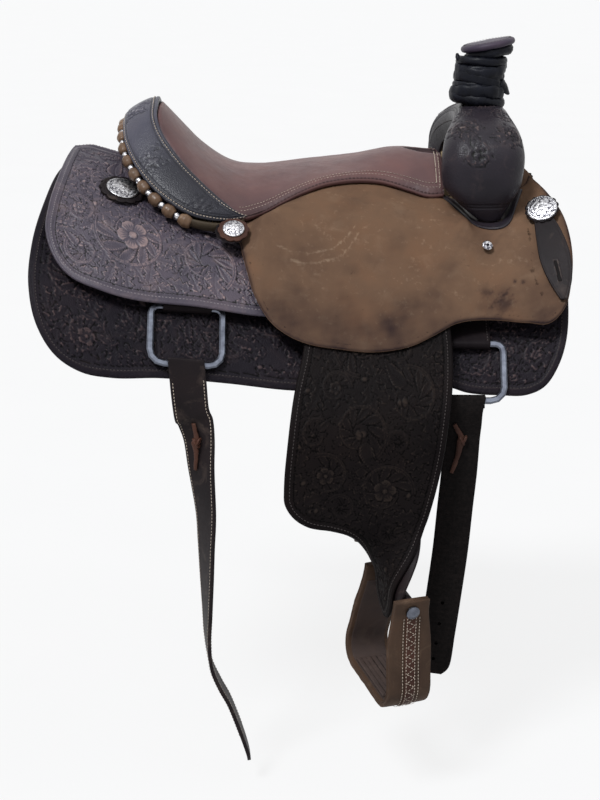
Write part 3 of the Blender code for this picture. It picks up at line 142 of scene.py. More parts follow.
SKIRT_BORDER, JOCKEY_BORDER = 13 * MM, 12 * MM
SKIRT = scaled([
    (-306, 5), (-318, 45), (-331, 139), (-340, 218), (-340, 273), (-328, 319), (-305, 347),
    (-274, 357), (-237, 353), (-175, 336), (-91, 322), (-4, 316), (90, 309), (188, 305),
    (214, 315), (255, 325), (291, 333), (313, 329), (330, 310), (341, 282), (346, 231),
    (344, 180), (332, 122), (310, 62), (288, 18), (220, 10), (60, 14), (-200, 8),
])
REAR_JOCKEY = scaled([
    (-309, 3), (-316, 96), (-322, 160), (-322, 200), (-309, 232), (-290, 249), (-252, 257),
    (-214, 257), (-127, 243), (-49, 237), (-28, 234), (-34, 150), (-82, 138), (-116, 126),
    (-146, 111), (-172, 88), (-188, 60), (-193, 30), (-193, 3),
])
SEAT_JOCKEY_LOW = scaled([
    (-113, 131), (-78, 150), (-73, 168), (-66, 193), (-57, 219), (-37, 248), (-16, 261),
    (10, 269), (50, 272), (91, 273), (139, 265), (170, 252), (199, 239), (240, 238), (291, 252),
    (318, 260), (336, 249), (346, 221), (350, 181), (343, 127), (326, 82), (306, 42),
])
RIM_PLAN = scaled([
    (-190, 0), (-189, 60), (-178, 85), (-153, 110), (-128, 128), (-100, 142), (-78, 150),
])
RIM_HEIGHT = scaled([
    (-190, 168), (-189, 146), (-178, 124), (-153, 94), (-128, 71), (-100, 48), (-78, 33),
])
EDGE_PLAN = scaled([
    (-78, 150), (-50, 137), (-20, 126), (0, 119), (30, 108), (60, 99), (86, 92), (110, 88),
    (145, 90), (170, 95), (190, 94),
])
EDGE_HEIGHT = scaled([
    (-78, 33), (-50, 37), (-20, 51), (0, 60), (30, 70), (60, 74), (86, 74), (110, 71), (145, 61),
    (170, 54), (190, 55),
])
SEAT_MIDDLE = scaled([
    (-192, 166), (-176, 149), (-156, 127), (-136, 106), (-112, 88), (-92, 79), (-72, 76), (-40, 77),
    (0, 81), (41, 85), (68, 89), (123, 100), (166, 99), (200, 96),
])
SEAT_THICK, SEAT_BACK = 10 * MM, -188.5 * MM
rim_plan, rim_height = curve_of(RIM_PLAN), curve_of(RIM_HEIGHT)
edge_plan, edge_height = curve_of(EDGE_PLAN), curve_of(EDGE_HEIGHT)
seat_middle = curve_of(SEAT_MIDDLE)


def seat_top(x, y):
    """Height of the seat's upper face."""
    rear = x < -78 * MM
    half = np.maximum(np.where(rear, rim_plan(x), edge_plan(x)), 20 * MM)
    edge = np.where(rear, rim_height(x), edge_height(x))
    middle = seat_middle(x)
    return middle + (edge - middle) * np.minimum(np.abs(y) / half, 1.2) ** 2.3


def rear_jockey_d(x, s):
    """How far over the back the rear jockey lies."""
    over_bar = smooth((x + 0.315) / 0.035) * smooth((0.200 - s) / 0.05)
    low = 30.5 * MM + 7.0 * MM * smooth((x + 0.300) / 0.06)
    return low + (D_BAR_TOP + 0.8 * MM - low) * over_bar


NORMAL = Vector((0.08, 0.81, 0.585)).normalized()
NX, NY, NZ = NORMAL
xs, ss = np.meshgrid(np.arange(-30, 256, 15), np.arange(200, 331, 10))
under = np.where(xs > 150, 35 * MM, D_RIG + 2 * MM)
PLANE = float((back(xs * MM, ss * MM, under) @ np.array(NORMAL)).max())
BEND_Z, BEND_RUN, LOW_LEAN = -165 * MM, 80 * MM, 0.05
TWIST_TOP, TWIST_END, TWIST_TILT = -338 * MM, -424 * MM, 0.22
TWIST_X, TWIST_ANGLE = {-1: 118 * MM, 1: 128 * MM}, {-1: 74.0, 1: 84.0}
FENDER_GAP = 1.6 * MM
H_FENDER = STIRRUP_LEATHER + FENDER_GAP


def hang_y(x, z):
    """The hanging leathers' inner face: a slope, a bend and a nearly upright part."""
    lean = NZ / NY
    base = (PLANE - NX * x) / NY
    drop = np.maximum(BEND_Z - z, 0)
    at_bend = base - lean * BEND_Z
    bent = at_bend + lean * drop - (lean - LOW_LEAN) * drop * drop / (2 * BEND_RUN)
    low = at_bend + (lean + LOW_LEAN) * BEND_RUN / 2 + LOW_LEAN * (drop - BEND_RUN)
    return np.where(drop <= 0, base - lean * z, np.where(drop <= BEND_RUN, bent, low))


def hang(x, z, h, side):
    """Points of the hanging leathers, h outside their inner face."""
    x, z, h = np.broadcast_arrays(*[np.asarray(v, float) for v in (x, z, h)])
    turn = smooth((TWIST_TOP - z) / (TWIST_TOP - TWIST_END))
    angle = math.radians(TWIST_ANGLE[side]) * turn
    mid = np.where(turn > 0, TWIST_X[side], x)
    step = 1 * MM
    slope_z = (hang_y(mid, z + step) - hang_y(mid, z - step)) / (2 * step)
    slope_x = (hang_y(mid + step, z) - hang_y(mid - step, z)) / (2 * step)
    flat = np.stack([mid, hang_y(mid, z), z], -1)
    normal = unit(np.stack([-slope_x, np.ones_like(x), -slope_z], -1))
    base = np.arctan(slope_x) + angle
    across = unit(np.stack([np.cos(base), np.sin(base), -TWIST_TILT * turn], -1))
    other = np.stack([-np.sin(base), np.cos(base), -slope_z], -1)
    other = unit(other - across * (other * across).sum(-1, keepdims=True))
    twisted = (turn > 0)[..., None]
    point = flat + np.where(twisted, across * (x - mid)[..., None] + other * h[..., None],
                            normal * h[..., None])
    return point * np.array([1, side, 1])


FORK = [
    (128, 18, 18, 248, -28, 30), (139, 36, 34, 241.5, -18, 44), (149, 57, 48, 238, -8, 56),
    (153, 80, 52, 237.5, 4, 64), (150, 106, 53, 238.5, 24, 66), (135, 128, 52.5, 239, 46, 62),
    (106, 145, 49, 240, 62, 54), (70, 154, 43, 242, 75, 46), (36, 159, 38, 244, 84, 41),
    (0, 161, 37, 245, 90, 40),
]
FORK_SECTION = [
    (-0.80, 1.0), (-1.0, 0.62), (-0.97, 0.32), (-0.62, 0.06), (0, 0), (0.62, 0.06), (0.97, 0.32),
    (1.0, 0.62), (0.80, 1.0),
]


def jockey_top(x):
    """Where the seat jockey's upper edge meets the seat's edge."""
    half, height = edge_plan(x), edge_height(x)
    return back_sd(x, half - 9 * MM, height - SEAT_THICK - (-1.0 if x > -20 * MM else 1.0) * MM)


def layer_s(x, up, d):
    """s where the layer d over the back comes down to a height."""
    s = 0.0
    while back(x, s, d)[2] > up:
        s += 0.5 * MM
    return s


JOCKEY_TOP = [(-113 * MM, 118 * MM, 54 * MM)]
for x in (-74, -45, -15, 15, 45, 75, 105, 135, 160, 188):
    JOCKEY_TOP.append((x * MM, *[float(v) for v in jockey_top(x * MM)]))
for across, up, half, mid in [row[:4] for row in FORK[1::-1]]:
    x = (mid - half) * MM - 2 * MM
    JOCKEY_TOP.append((x, layer_s(x, up * MM, 58 * MM) + 2 * MM, 58 * MM))
for across, up, half, mid in [row[:4] for row in FORK[:3]]:
    x = (mid + half) * MM + 2 * MM
    JOCKEY_TOP.append((x, layer_s(x, up * MM, 58 * MM) + 2 * MM, 57 * MM))
JOCKEY_TOP += [(301 * MM, 55 * MM, 53 * MM), (306 * MM, 40 * MM, 51 * MM)]
top_s, top_d = curve_of([v[:2] for v in JOCKEY_TOP]), curve_of([(v[0], v[2]) for v in JOCKEY_TOP])
LOW_S, LOW_D = 262 * MM, 50.5 * MM


def fender_d(x, s):
    """Height over the back of the fender's outer face."""
    radius, top, rise = section(x)
    angle = top + s / radius
    base = NX * x + NY * (-radius * np.sin(top)) + NZ * (rise - radius * np.cos(top))
    along = NY * np.sin(angle) + NZ * np.cos(angle)
    return (PLANE + H_FENDER + FENDER_LEATHER - base) / along - radius


def jockey_high(x, s):
    """Outer face: from the upper edge out over the stirrup leather, down its plane to the lower edge."""
    high_s, high_d = top_s(x), top_d(x)
    plain = high_d + (LOW_D - high_d) * np.clip((s - high_s) / (LOW_S - high_s), 0, 1)
    turn_s = np.maximum(118 * MM, high_s + 25 * MM)
    gap = JOCKEY_LEATHER + FENDER_GAP
    slope = (fender_d(x, turn_s) + gap - high_d) / (turn_s - high_s)
    line, over = high_d + slope * np.maximum(s - high_s, 0.0), fender_d(x, s) + gap
    bent = np.minimum(line, over) - np.maximum(6 * MM - np.abs(line - over), 0.0) ** 2 / (24 * MM)
    clear = smooth((x + 0.075) / 0.03) * smooth((0.262 - x) / 0.05)
    return np.maximum(plain, plain + (bent - plain) * clear)


# ---------------------------------------------------------------- meshes
def mesh_object(name, verts, faces, mat, attrs=None):
    mesh = bpy.data.meshes.new(name)
    mesh.from_pydata([tuple(map(float, v)) for v in verts], [], faces)
    mesh.validate()
    mesh.shade_smooth()
    for key, values in (attrs or {}).items():
        values = np.asarray(values, np.float32)
        kind = "FLOAT" if values.ndim == 1 else "FLOAT_VECTOR"
        layer = mesh.attributes.new(key, kind, "POINT")
        layer.data.foreach_set("value" if values.ndim == 1 else "vector", values.ravel())
    mesh.materials.append(mat)
    obj = bpy.data.objects.new(name, mesh)
    bpy.context.scene.collection.objects.link(obj)
    return obj


def stand(obj, body, slot, *nodes):
    """The piece rides on its body and stands for its nodes, which are hidden; slot is not used."""
    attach(obj, body)
    if nodes:
        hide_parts(*nodes)
    return obj


def loop_through(points, step, corner=50.0):
    """A closed smooth line through points, sharp where it turns more than corner degrees."""
    pts = np.array(points, float)
    count = len(pts)
    made = []
    dirs = np.roll(pts, -1, 0) - pts
    lens = np.linalg.norm(dirs, axis=1)
    unit = dirs / lens[:, None]
    sharp = [math.degrees(math.acos(np.clip(unit[i - 1] @ unit[i], -1, 1))) > corner
             for i in range(count)]
    for i in range(count):
        j = (i + 1) % count
        a = unit[i] if sharp[i] else unit[i - 1] + unit[i]
        b = unit[i] if sharp[j] else unit[i] + unit[j]
        a, b = a / np.linalg.norm(a) * lens[i], b / np.linalg.norm(b) * lens[i]
        for t in np.arange(max(2, round(lens[i] / step))) / max(2, round(lens[i] / step)):
            made.append(pts[i] * (1 + 2 * t) * (1 - t) ** 2 + a * t * (1 - t) ** 2
                        + pts[j] * t * t * (3 - 2 * t) + b * t * t * (t - 1))
    return np.array(made)


def inside(points, loop):
    """Which points lie inside a closed line."""
    found = np.zeros(len(points), bool)
    for a, b in zip(loop, np.roll(loop, -1, 0)):
        cross = (a[1] > points[:, 1]) != (b[1] > points[:, 1])
        if abs(b[1] - a[1]) > 1e-12:
            at = (b[0] - a[0]) * (points[:, 1] - a[1]) / (b[1] - a[1]) + a[0]
            found ^= cross & (points[:, 0] < at)
    return found


def to_edge(points, loop):
    """Distance of each point to the closed line."""
    best = np.full(len(points), 1e9)
    for a, b in zip(loop, np.roll(loop, -1, 0)):
        ab = b - a
        t = np.clip(((points - a) @ ab) / max(ab @ ab, 1e-18), 0, 1)
        best = np.minimum(best, np.hypot(*(points - a - t[:, None] * ab).T))
    return best


def fill(loop, step, keep=None):
    """(points, triangles) that fill a closed line; the line's own points come first."""
    low, high = loop.min(0), loop.max(0)
    rows = np.arange(low[1], high[1], step * 0.866)
    grid = []
    for i, v in enumerate(rows):
        us = np.arange(low[0] + (i % 2) * step / 2, high[0], step)
        grid.append(np.stack([us, np.full(len(us), v)], -1))
    grid = np.concatenate(grid)
    if keep is not None:
        grid = grid[keep(grid)]
    grid = grid[inside(grid, loop)]
    grid = grid[to_edge(grid, loop) > 0.55 * step]
    count = len(loop)
    points = np.concatenate([loop, grid])
    edges = [(i, (i + 1) % count) for i in range(count)]
    made = delaunay_2d_cdt([Vector(p) for p in points], edges, [], 1, 1e-7)
    first = [origin[0] for origin in made[3]]
    return points, [tuple(first[i] for i in face) for face in made[2]]


class Sheet:
    """A flat leather shape cut into triangles: fine on its face, coarse underneath."""

    def __init__(self, outline, step, corner=50.0, coarse=12 * MM, keep=None):
        self.loop = loop = loop_through(outline, max(step, 2.0 * MM), corner)
        self.points, self.tris = fill(loop, step, keep)
        self.edge = to_edge(self.points, loop)
        self.edge[: len(loop)] = 0
        self.low, self.low_tris = fill(loop, coarse)
        nxt = np.roll(loop, -1, 0)
        self.way = 1 if np.sum(loop[:, 0] * nxt[:, 1] - nxt[:, 0] * loop[:, 1]) > 0 else -1
        run = nxt - np.roll(loop, 1, 0)
        out = np.stack([run[:, 1], -run[:, 0]], -1) * self.way
        self.out = unit(out)


def skin(name, sheet, place, thick, mat, relief=None, stain_and_painted_shade=None, round_off=1.5 * MM, deep=0.9 * MM):
    """A leather panel: place(u, v, h) gives points at h over its under face; relief its tooling."""
    points, edge, count = sheet.points, sheet.edge, len(sheet.loop)
    part = np.clip(1 - edge / round_off, 0, 1)
    drop = round_off * 0.8 * (1 - np.sqrt(np.maximum(1 - part * part, 0)))
    carve = np.zeros(len(points)) if relief is None else relief(points, edge)
    bulge = sheet.loop + sheet.out * min(0.22 * thick, 1.0 * MM)
    verts = [
        place(points[:, 0], points[:, 1], thick - drop + carve * deep),
        place(bulge[:, 0], bulge[:, 1], np.full(count, thick * 0.5)),
        place(sheet.low[:, 0], sheet.low[:, 1], np.zeros(len(sheet.low))),
    ]
    rest = np.zeros(count + len(sheet.low))
    attrs = {"carve": np.concatenate([carve, rest])}
    # The stain mask marks real stains and, on some panels, painted shade.
    if stain_and_painted_shade is not None:
        attrs["stain_and_painted_shade"] = np.concatenate([stain_and_painted_shade(points, edge), rest])
    n = len(points)
    faces = [tuple(t) for t in sheet.tris]
    faces += [tuple(n + count + i for i in reversed(t)) for t in sheet.low_tris]
    for i in range(count):
        j = (i + 1) % count
        for a, b in ((0, n), (n, n + count)):
            quad = (a + i, b + i, b + j, a + j)
            faces.append(quad if sheet.way > 0 else quad[::-1])
    return tidy_normals(mesh_object(name, np.concatenate(verts), faces, mat, attrs))


def tidy_normals(obj):
    """Turns the faces outwards."""
    work = bmesh.new()
    work.from_mesh(obj.data)
    bmesh.ops.recalc_face_normals(work, faces=work.faces)
    work.to_mesh(obj.data)
    work.free()
    return obj


def dense_rows(rows, k, closed=False):
    """Rows with k steps on a smooth curve between each two of them."""
    rows = np.asarray(rows, float)
    m = len(rows)
    last = m if closed else m - 1
    index = np.arange(last)
    if closed:
        p0, p1, p2, p3 = (rows[(index + i) % m] for i in (-1, 0, 1, 2))
    else:
        p0, p1, p2, p3 = (rows[np.clip(index + i, 0, m - 1)] for i in (-1, 0, 1, 2))
    made = []
    for t in np.arange(k) / k:
        made.append(0.5 * (2 * p1 + (p2 - p0) * t + (2 * p0 - 5 * p1 + 4 * p2 - p3) * t * t
                           + (3 * p1 - p0 - 3 * p2 + p3) * t**3))
    made = np.stack(made, 1).reshape((-1,) + rows.shape[1:])
    return made if closed else np.concatenate([made, rows[-1:]])


def dense_columns(rings, k, closed=False):
    return np.moveaxis(dense_rows(np.moveaxis(rings, 1, 0), k, closed), 0, 1)


def smooth_line(points, step, dims=3, share=1.0):
    """Evenly spaced points of a smooth open line, measured on its first dims columns."""
    dense = dense_rows(np.array([tuple(p) for p in points], float), 12)
    gone = np.linalg.norm(np.diff(dense[:, :dims], axis=0), axis=1) / share
    gone = np.concatenate([[0], np.cumsum(gone)])
    want = np.linspace(0, gone[-1], max(2, round(gone[-1] / step) + 1))
    return np.stack([np.interp(want, gone, dense[:, k]) for k in range(dense.shape[1])], -1)


def smooth_rings(rings, step):
    """Rings at even steps on smooth lines through the given ones."""
    rings = np.array([[tuple(p) for p in ring] for ring in rings], float)
    m, n = rings.shape[:2]
    return smooth_line(rings.reshape(m, -1), step, 3 * n, math.sqrt(n)).reshape(-1, n, 3)


def ripple(points, scale, seed=0, octaves=3):
    """A soft seeded unevenness between about -1 and 1 at each point."""
    turn = np.random.default_rng(seed)
    total = np.zeros(len(points))
    for k in range(octaves):
        for _ in range(4):
            way = unit(turn.normal(size=3)) * (2 * math.pi / scale) * 1.9**k
            total += np.sin(points @ way + turn.uniform(0, 6.28)) / (2.2 * 1.6**k)
    return total / 2.2


def tube(points, one, other, size, sides, flat=1.0):
    """Rings along points; flat squeezes them in the first of the two directions across."""
    turn = np.arange(sides) * 2 * math.pi / sides
    return (points[:, None] + one[:, None] * (np.cos(turn) * flat)[None, :, None] * size[:, None, None]
            + other[:, None] * np.sin(turn)[None, :, None] * size[:, None, None])


def creased(rings, middles, amount):
    """Rings moved out from their middles by amount(points)."""
    flat = rings.reshape(-1, 3)
    out = unit(rings - middles).reshape(-1, 3)
    return (flat + out * amount(flat)[:, None]).reshape(rings.shape)


def join_rings(name, shells, mat, attrs=None):
    """One piece of closed skins, each over rings of equal count."""
    verts, faces = [], []
    for rings in shells:
        rings = np.array(rings, float)
        m, n = rings.shape[:2]
        base = len(verts)
        verts += rings.reshape(-1, 3).tolist()
        for i in range(m - 1):
            a, b = base + i * n, base + (i + 1) * n
            faces += [(a + k, a + (k + 1) % n, b + (k + 1) % n, b + k) for k in range(n)]
        faces += [tuple(base + k for k in range(n)), tuple(base + (m - 1) * n + k for k in range(n))]
    return tidy_normals(mesh_object(name, verts, faces, mat, attrs))


def rings_object(name, rings, mat, attrs=None):
    """A piece of one closed skin."""
    return join_rings(name, [rings], mat, attrs)


def strap(name, stations, mat, step=3 * MM, columns=9, relief=None):
    """A strap with rounded edges through stations (centre, across, normal, half, thick)."""
    rows = [tuple(c) + tuple(a) + tuple(n) + (h, t) for c, a, n, h, t in stations]
    line = smooth_line(rows, step)
    length = travelled(line[:, :3])
    ws = np.concatenate([[-1, -0.985], np.linspace(-0.95, 0.95, columns), [0.985, 1]])
    hs = np.concatenate([[0.25, 0.72], np.ones(columns), [0.72, 0.25]])
    rings, carve = [], []
    for row, at in zip(line, length):
        centre, across, normal = row[:3], row[3:6], row[6:9]
        across = unit(across)
        normal = unit(normal - across * (normal @ across))
        half, thick = row[9], row[10]
        up = np.zeros(len(ws)) if relief is None else relief(np.full(len(ws), at), ws * half, half)
        top = [centre + across * w * half + normal * (h * thick / 2 + u * 0.8 * MM)
               for w, h, u in zip(ws, hs, up)]
        low = [centre + across * w * half - normal * (h * thick / 2)
               for w, h in zip(ws[::-1], hs[::-1])]
        rings.append(top + low)
        carve += list(up) + [0] * len(ws)
    return rings_object(name, rings, mat, {"carve": carve}), line


def stitch_row(points, normals, pitch=4.4 * MM, long=3.2 * MM, wide=1.35 * MM, lift=0.2 * MM):
    """Vertices and faces of stitches along a line on a surface."""
    points, normals = np.array(points, float), np.array(normals, float)
    both = np.concatenate([points, normals], 1)
    gone = travelled(points)
    want = np.arange(pitch / 2, gone[-1], pitch)
    line = np.stack([np.interp(want, gone, both[:, k]) for k in range(6)], -1)
    ahead = np.stack([np.interp(want + 0.4 * MM, gone, points[:, k]) for k in range(3)], -1)
    behind = np.stack([np.interp(want - 0.4 * MM, gone, points[:, k]) for k in range(3)], -1)
    verts, faces = [], []
    shape = [(-1, 0, -0.35), (-0.6, 0.8, 0.3), (0.6, 0.8, 0.3), (1, 0, -0.35), (0.6, -0.8, 0.3),
             (-0.6, -0.8, 0.3), (-0.55, 0, 0.9), (0.55, 0, 0.9)]
    for p, b, a in zip(line, behind, ahead):
        run = a - b
        run /= max(np.linalg.norm(run), 1e-9)
        up = p[3:] - run * (p[3:] @ run)
        up /= max(np.linalg.norm(up), 1e-9)
        side = np.cross(up, run)
        base = len(verts)
        verts += [p[:3] + run * (u * long / 2) + side * (v * wide / 2) + up * (w * wide / 2 + lift)
                  for u, v, w in shape]
        faces += [tuple(base + i for i in f) for f in (
            (0, 1, 6), (1, 2, 7, 6), (2, 3, 7), (3, 4, 7), (4, 5, 6, 7), (5, 0, 6))]
    return verts, faces


def stitches(name, rows, body, mat, slot):
    """One piece of all the stitch rows given as (points, normals[, pitch])."""
    verts, faces = [], []
    for row in rows:
        more, some = stitch_row(*row)
        faces += [tuple(len(verts) + i for i in f) for f in some]
        verts += more
    return stand(mesh_object(name, verts, faces, mat), body, slot)


def inner_line(outline, by, corner=50.0, step=2.5 * MM):
    """The outline's smooth line moved inwards."""
    loop = loop_through(outline, step, corner)
    area = np.sum(loop[:, 0] * np.roll(loop[:, 1], -1) - np.roll(loop[:, 0], -1) * loop[:, 1])
    run = np.roll(loop, -2, 0) - np.roll(loop, 2, 0)
    out = unit(np.stack([-run[:, 1], run[:, 0]], -1) * (1 if area > 0 else -1))
    moved = loop + out * by
    return moved[to_edge(moved, loop) > by * 0.93]


def row_on(points, place, height):
    """Points and normals of a line of (u, v) on a panel's outer face."""
    u, v = points[:, 0], points[:, 1]
    h = np.full(len(u), height)
    here = place(u, v, h)
    return here, place(u, v, h + 1 * MM) - here


# ---------------------------------------------------------------- tooling
def turned(x, y, root, angle):
    """Distances from a root along its direction and across it."""
    x, y = x - root[0], y - root[1]
    return x * math.cos(angle) + y * math.sin(angle), -x * math.sin(angle) + y * math.cos(angle)


class Tooling:
    """A height field of carved leather over a rectangle: -1 cut to +0.7 raised."""

    def __init__(self, low, high, cell=0.5 * MM, seed=1):
        self.low, self.cell = np.array(low, float), cell
        size = ((np.array(high) - self.low) / cell).astype(int) + 2
        self.h = np.full((size[1], size[0]), -0.30)
        self.ground = np.ones((size[1], size[0]), bool)
        self.rng = np.random.default_rng(seed)

    def window(self, centre, reach):
        i = ((np.array(centre) - self.low) / self.cell).astype(int)
        r = int(reach / self.cell) + 2
        x0, x1 = max(i[0] - r, 0), min(i[0] + r, self.h.shape[1])
        y0, y1 = max(i[1] - r, 0), min(i[1] + r, self.h.shape[0])
        if x0 >= x1 or y0 >= y1:
            return None
        gx, gy = np.meshgrid(np.arange(x0, x1), np.arange(y0, y1))
        return (slice(y0, y1), slice(x0, x1)), gx * self.cell + self.low[0], gy * self.cell + self.low[1]

    def put(self, at, shape, height, cut, behind=False):
        """Paints height where shape > 0 and a cut line just outside it."""
        h, ground = self.h[at], self.ground[at]
        mask = shape > 0
        rim = (shape <= 0) & (shape > -cut)
        if behind:
            mask &= ground
            rim &= ground
        h[rim] = -1.0
        h[mask] = height[mask]
        ground[mask | rim] = False

    def leaf(self, root, angle, length, width, bend=0.0, lobes=4, behind=False):
        """A fluted leaf from its root, curling as it goes; lobed, or smooth with no lobes."""
        got = self.window(root, length * 1.15)
        if got is None:
            return
        at, x, y = got
        u, v = turned(x, y, root, angle)
        t = u / length
        v = v - bend * length * t * t
        tt = np.clip(t, 0, 1)
        wave = 0.72 + 0.28 * np.cos(2 * math.pi * (lobes * tt - 0.5))
        half = width * np.sin(math.pi * tt**0.7) ** 0.75 * (wave if lobes else 1.0)
        shape = np.where((t > 0) & (t < 1), half - np.abs(v), -1.0)
        dome = np.clip(np.abs(v) / np.maximum(half, 1e-6), 0, 1)
        vein = np.exp(-((v / (0.7 * MM)) ** 2)) * (t < 0.85)
        lines = ((u - 0.9 * np.abs(v)) / (3.4 * MM)) % 1.0 - 0.5
        flutes = np.exp(-(lines / 0.17) ** 2) * (dome > 0.18) * (dome < 0.92)
        height = 0.05 + 0.65 * dome**1.5 - 0.75 * vein - 0.62 * flutes
        self.put(at, shape, height, 1.35 * MM, behind)

    def stem(self, path, width, behind=False):
        path = np.array(path)
        for a, b in zip(path, path[1:]):
            got = self.window((a + b) / 2, np.linalg.norm(b - a) / 2 + width * 1.5)
            if got is None:
                continue
            at, x, y = got
            ab = b - a
            t = np.clip(((x - a[0]) * ab[0] + (y - a[1]) * ab[1]) / max(ab @ ab, 1e-12), 0, 1)
            dist = np.hypot(x - a[0] - t * ab[0], y - a[1] - t * ab[1])
            h, ground = self.h[at], self.ground[at]
            near = (dist < width / 2 + 0.8 * MM) & (ground if behind else True)
            h[near & (dist >= width / 2) & ground] = -1.0
            body = near & (dist < width / 2)
            h[body] = (0.45 - 0.5 * (dist / (width / 2)) ** 2)[body]
            ground[near] = False

    def flower(self, centre, radius, petals=5, turn=0.0):
        at, x, y = self.window(centre, radius * 1.2) or (None, None, None)
        if at is None:
            return
        r, a = np.hypot(x - centre[0], y - centre[1]), np.arctan2(y - centre[1], x - centre[0]) + turn
        lobe = np.abs(np.cos(petals / 2 * a))
        reach = radius * (0.70 + 0.30 * lobe**0.6)
        split = np.exp(-((np.minimum(lobe, 1) / 0.16) ** 2)) * (r > 0.3 * radius)
        cup = (r / np.maximum(reach, 1e-6)) ** 2
        rays = 0.18 * np.sin(26 * a) * (r > 0.34 * radius) * (r < 0.75 * radius)
        height = 0.1 + 0.5 * cup - 0.9 * split + rays
        core = r < 0.27 * radius
        height = np.where(core, 0.55 - 2.2 * (r / radius) ** 2
                          + 0.12 * np.sin(x / (0.5 * MM)) * np.sin(y / (0.5 * MM)), height)
        ring = np.abs(r - 0.28 * radius) < 0.5 * MM
        height = np.where(ring, -0.9, height)
        self.put(at, reach - r, height, 0.9 * MM)

    def acorn(self, root, angle, size, behind=False):
        got = self.window(root, size * 1.6)
        if got is None:
            return
        at, x, y = got
        u, v = turned(x, y, root, angle)
        nut = 1 - ((u - 0.62 * size) / (0.48 * size)) ** 2 - (v / (0.36 * size)) ** 2
        cap = 1 - ((u - 0.30 * size) / (0.32 * size)) ** 2 - (v / (0.48 * size)) ** 2
        scale = size * 0.2
        hatch = 0.2 * np.sin((u + v) / (0.55 * MM)) * np.sin((u - v) / (0.55 * MM))
        self.put(at, nut * scale, 0.15 + 0.5 * np.clip(nut, 0, 1), 0.8 * MM, behind)
        self.put(at, cap * scale, 0.2 + 0.35 * np.clip(cap, 0, 1) + hatch, 0.8 * MM, behind)

    def scroll(self, centre, radius, start, way, kind):
        """A stem that winds in on itself, leaves fanned inside it and small ones outside."""
        centre = np.array(centre, float)

        def at(t, more=0.0):
            r = radius * (0.90 - 0.50 * t) + more
            a = start + way * 2 * math.pi * 1.02 * t
            return centre + r * np.array([math.cos(a), math.sin(a)])

        def heading(t):
            run = at(t + 0.02) - at(t)
            return math.atan2(run[1], run[0])

        for k in range(7):
            t = 0.02 + k / 7.6
            size = radius * (0.50 - 0.10 * t)
            self.leaf(at(t), heading(t) - way * 0.75, size, size * 0.40, way * -0.30, 3)
        for k in range(9):
            t = 0.03 + k / 10.0
            size = radius * (0.62 - 0.20 * t)
            self.leaf(at(t), heading(t) + way * 0.80, size, size * 0.24, way * 0.30, 0)
        for out in (0.0, 1.0):
            self.stem([at(t, out * 3.2 * MM * (1 - t)) for t in np.linspace(0, 1, 48)], 2.6 * MM)
        if kind == 0:
            self.flower(centre, radius * 0.38, 5, start)
        elif kind == 1:
            self.leaf(at(1.0), start + way * 5.6, radius * 0.95, radius * 0.26, way * 0.5, 0)
            self.acorn(centre - 0.1 * radius, start + 1.2, radius * 0.34)
        else:
            self.leaf(at(1.0), start + way * 5.2, radius * 1.0, radius * 0.34, way * 0.6, 4)

    def cover(self, loop, margin, size):
        """Packs scrolls inside a closed line, then fills what is left with small leaves."""
        low, high = loop.min(0), loop.max(0)
        spots = self.rng.uniform(low, high, (900, 2))
        spots = spots[inside(spots, loop)]
        room = to_edge(spots, loop) - margin
        order = np.argsort(-np.minimum(room, size * 1.15) + 0.15 * size * self.rng.random(len(spots)))
        made = []
        for i in order:
            r = min(size * 1.15, room[i])
            for c, q in made:
                r = min(r, np.linalg.norm(spots[i] - c) - 0.92 * q)
            if r > 0.45 * size:
                made.append((spots[i], r))
        for k, (c, r) in enumerate(made):
            self.scroll(c, r, self.rng.uniform(0, 6.28), 1 if k % 2 else -1, k % 3)
        for c in self.rng.uniform(low, high, (2600, 2)):
            got = self.window(c, 3.5 * MM)
            if got is None or self.ground[got[0]].mean() < 0.93:
                continue
            if self.rng.random() < 0.12:
                self.acorn(c, self.rng.uniform(0, 6.28), 9 * MM, True)
            else:
                length = self.rng.uniform(24, 38) * MM
                self.leaf(c, self.rng.uniform(0, 6.28), length, length * 0.33,
                          self.rng.uniform(-0.5, 0.5), 3, True)

    def at(self, points):
        """The height at each point, between cells."""
        p = (points - self.low) / self.cell
        x = np.clip(p[:, 0], 0, self.h.shape[1] - 1.001)
        y = np.clip(p[:, 1], 0, self.h.shape[0] - 1.001)
        i, j = x.astype(int), y.astype(int)
        fx, fy = x - i, y - j
        h = self.h
        return (h[j, i] * (1 - fx) * (1 - fy) + h[j, i + 1] * fx * (1 - fy)
                + h[j + 1, i] * (1 - fx) * fy + h[j + 1, i + 1] * fx * fy)


def groove(edge, at, wide=0.9 * MM):
    """1 on a line at a distance from the edge, 0 away from it."""
    return np.exp(-(((edge - at) / wide) ** 2))


def bordered(tool, start, lines=(), plain=0.0):
    """Relief with a plain border that ends at start from the edge, and creased lines in it."""
    def relief(points, edge):
        made = tool.at(points)
        blend = smooth((edge - start) / (1.2 * MM))
        made = made * blend + plain * (1 - blend)
        made = np.where(np.abs(edge - start) < 0.7 * MM, -0.9, made)
        for at, deep in lines:
            made = made - deep * groove(edge, at, 1.2 * MM)
        return np.clip(made, -1.1, 0.8)
    return relief


# ---------------------------------------------------------------- materials
def new_material(name):
    mat = bpy.data.materials.new(name)
    mat.use_nodes = True
    tree = mat.node_tree
    shader = tree.nodes["Principled BSDF"]
    return mat, tree, shader


def node(tree, kind, **values):
    made = tree.nodes.new(kind)
    for key, value in values.items():
        if key in made.inputs:
            made.inputs[key].default_value = value
        else:
            setattr(made, key, value)
    return made


def ramp(tree, fac, stops):
    made = tree.nodes.new("ShaderNodeValToRGB")
    while len(made.color_ramp.elements) < len(stops):
        made.color_ramp.elements.new(0.5)
    for element, (at, color) in zip(made.color_ramp.elements, stops):
        element.position = at
        element.color = (*color, 1) if len(color) == 3 else color
    tree.links.new(fac, made.inputs["Fac"])
    return made.outputs["Color"]


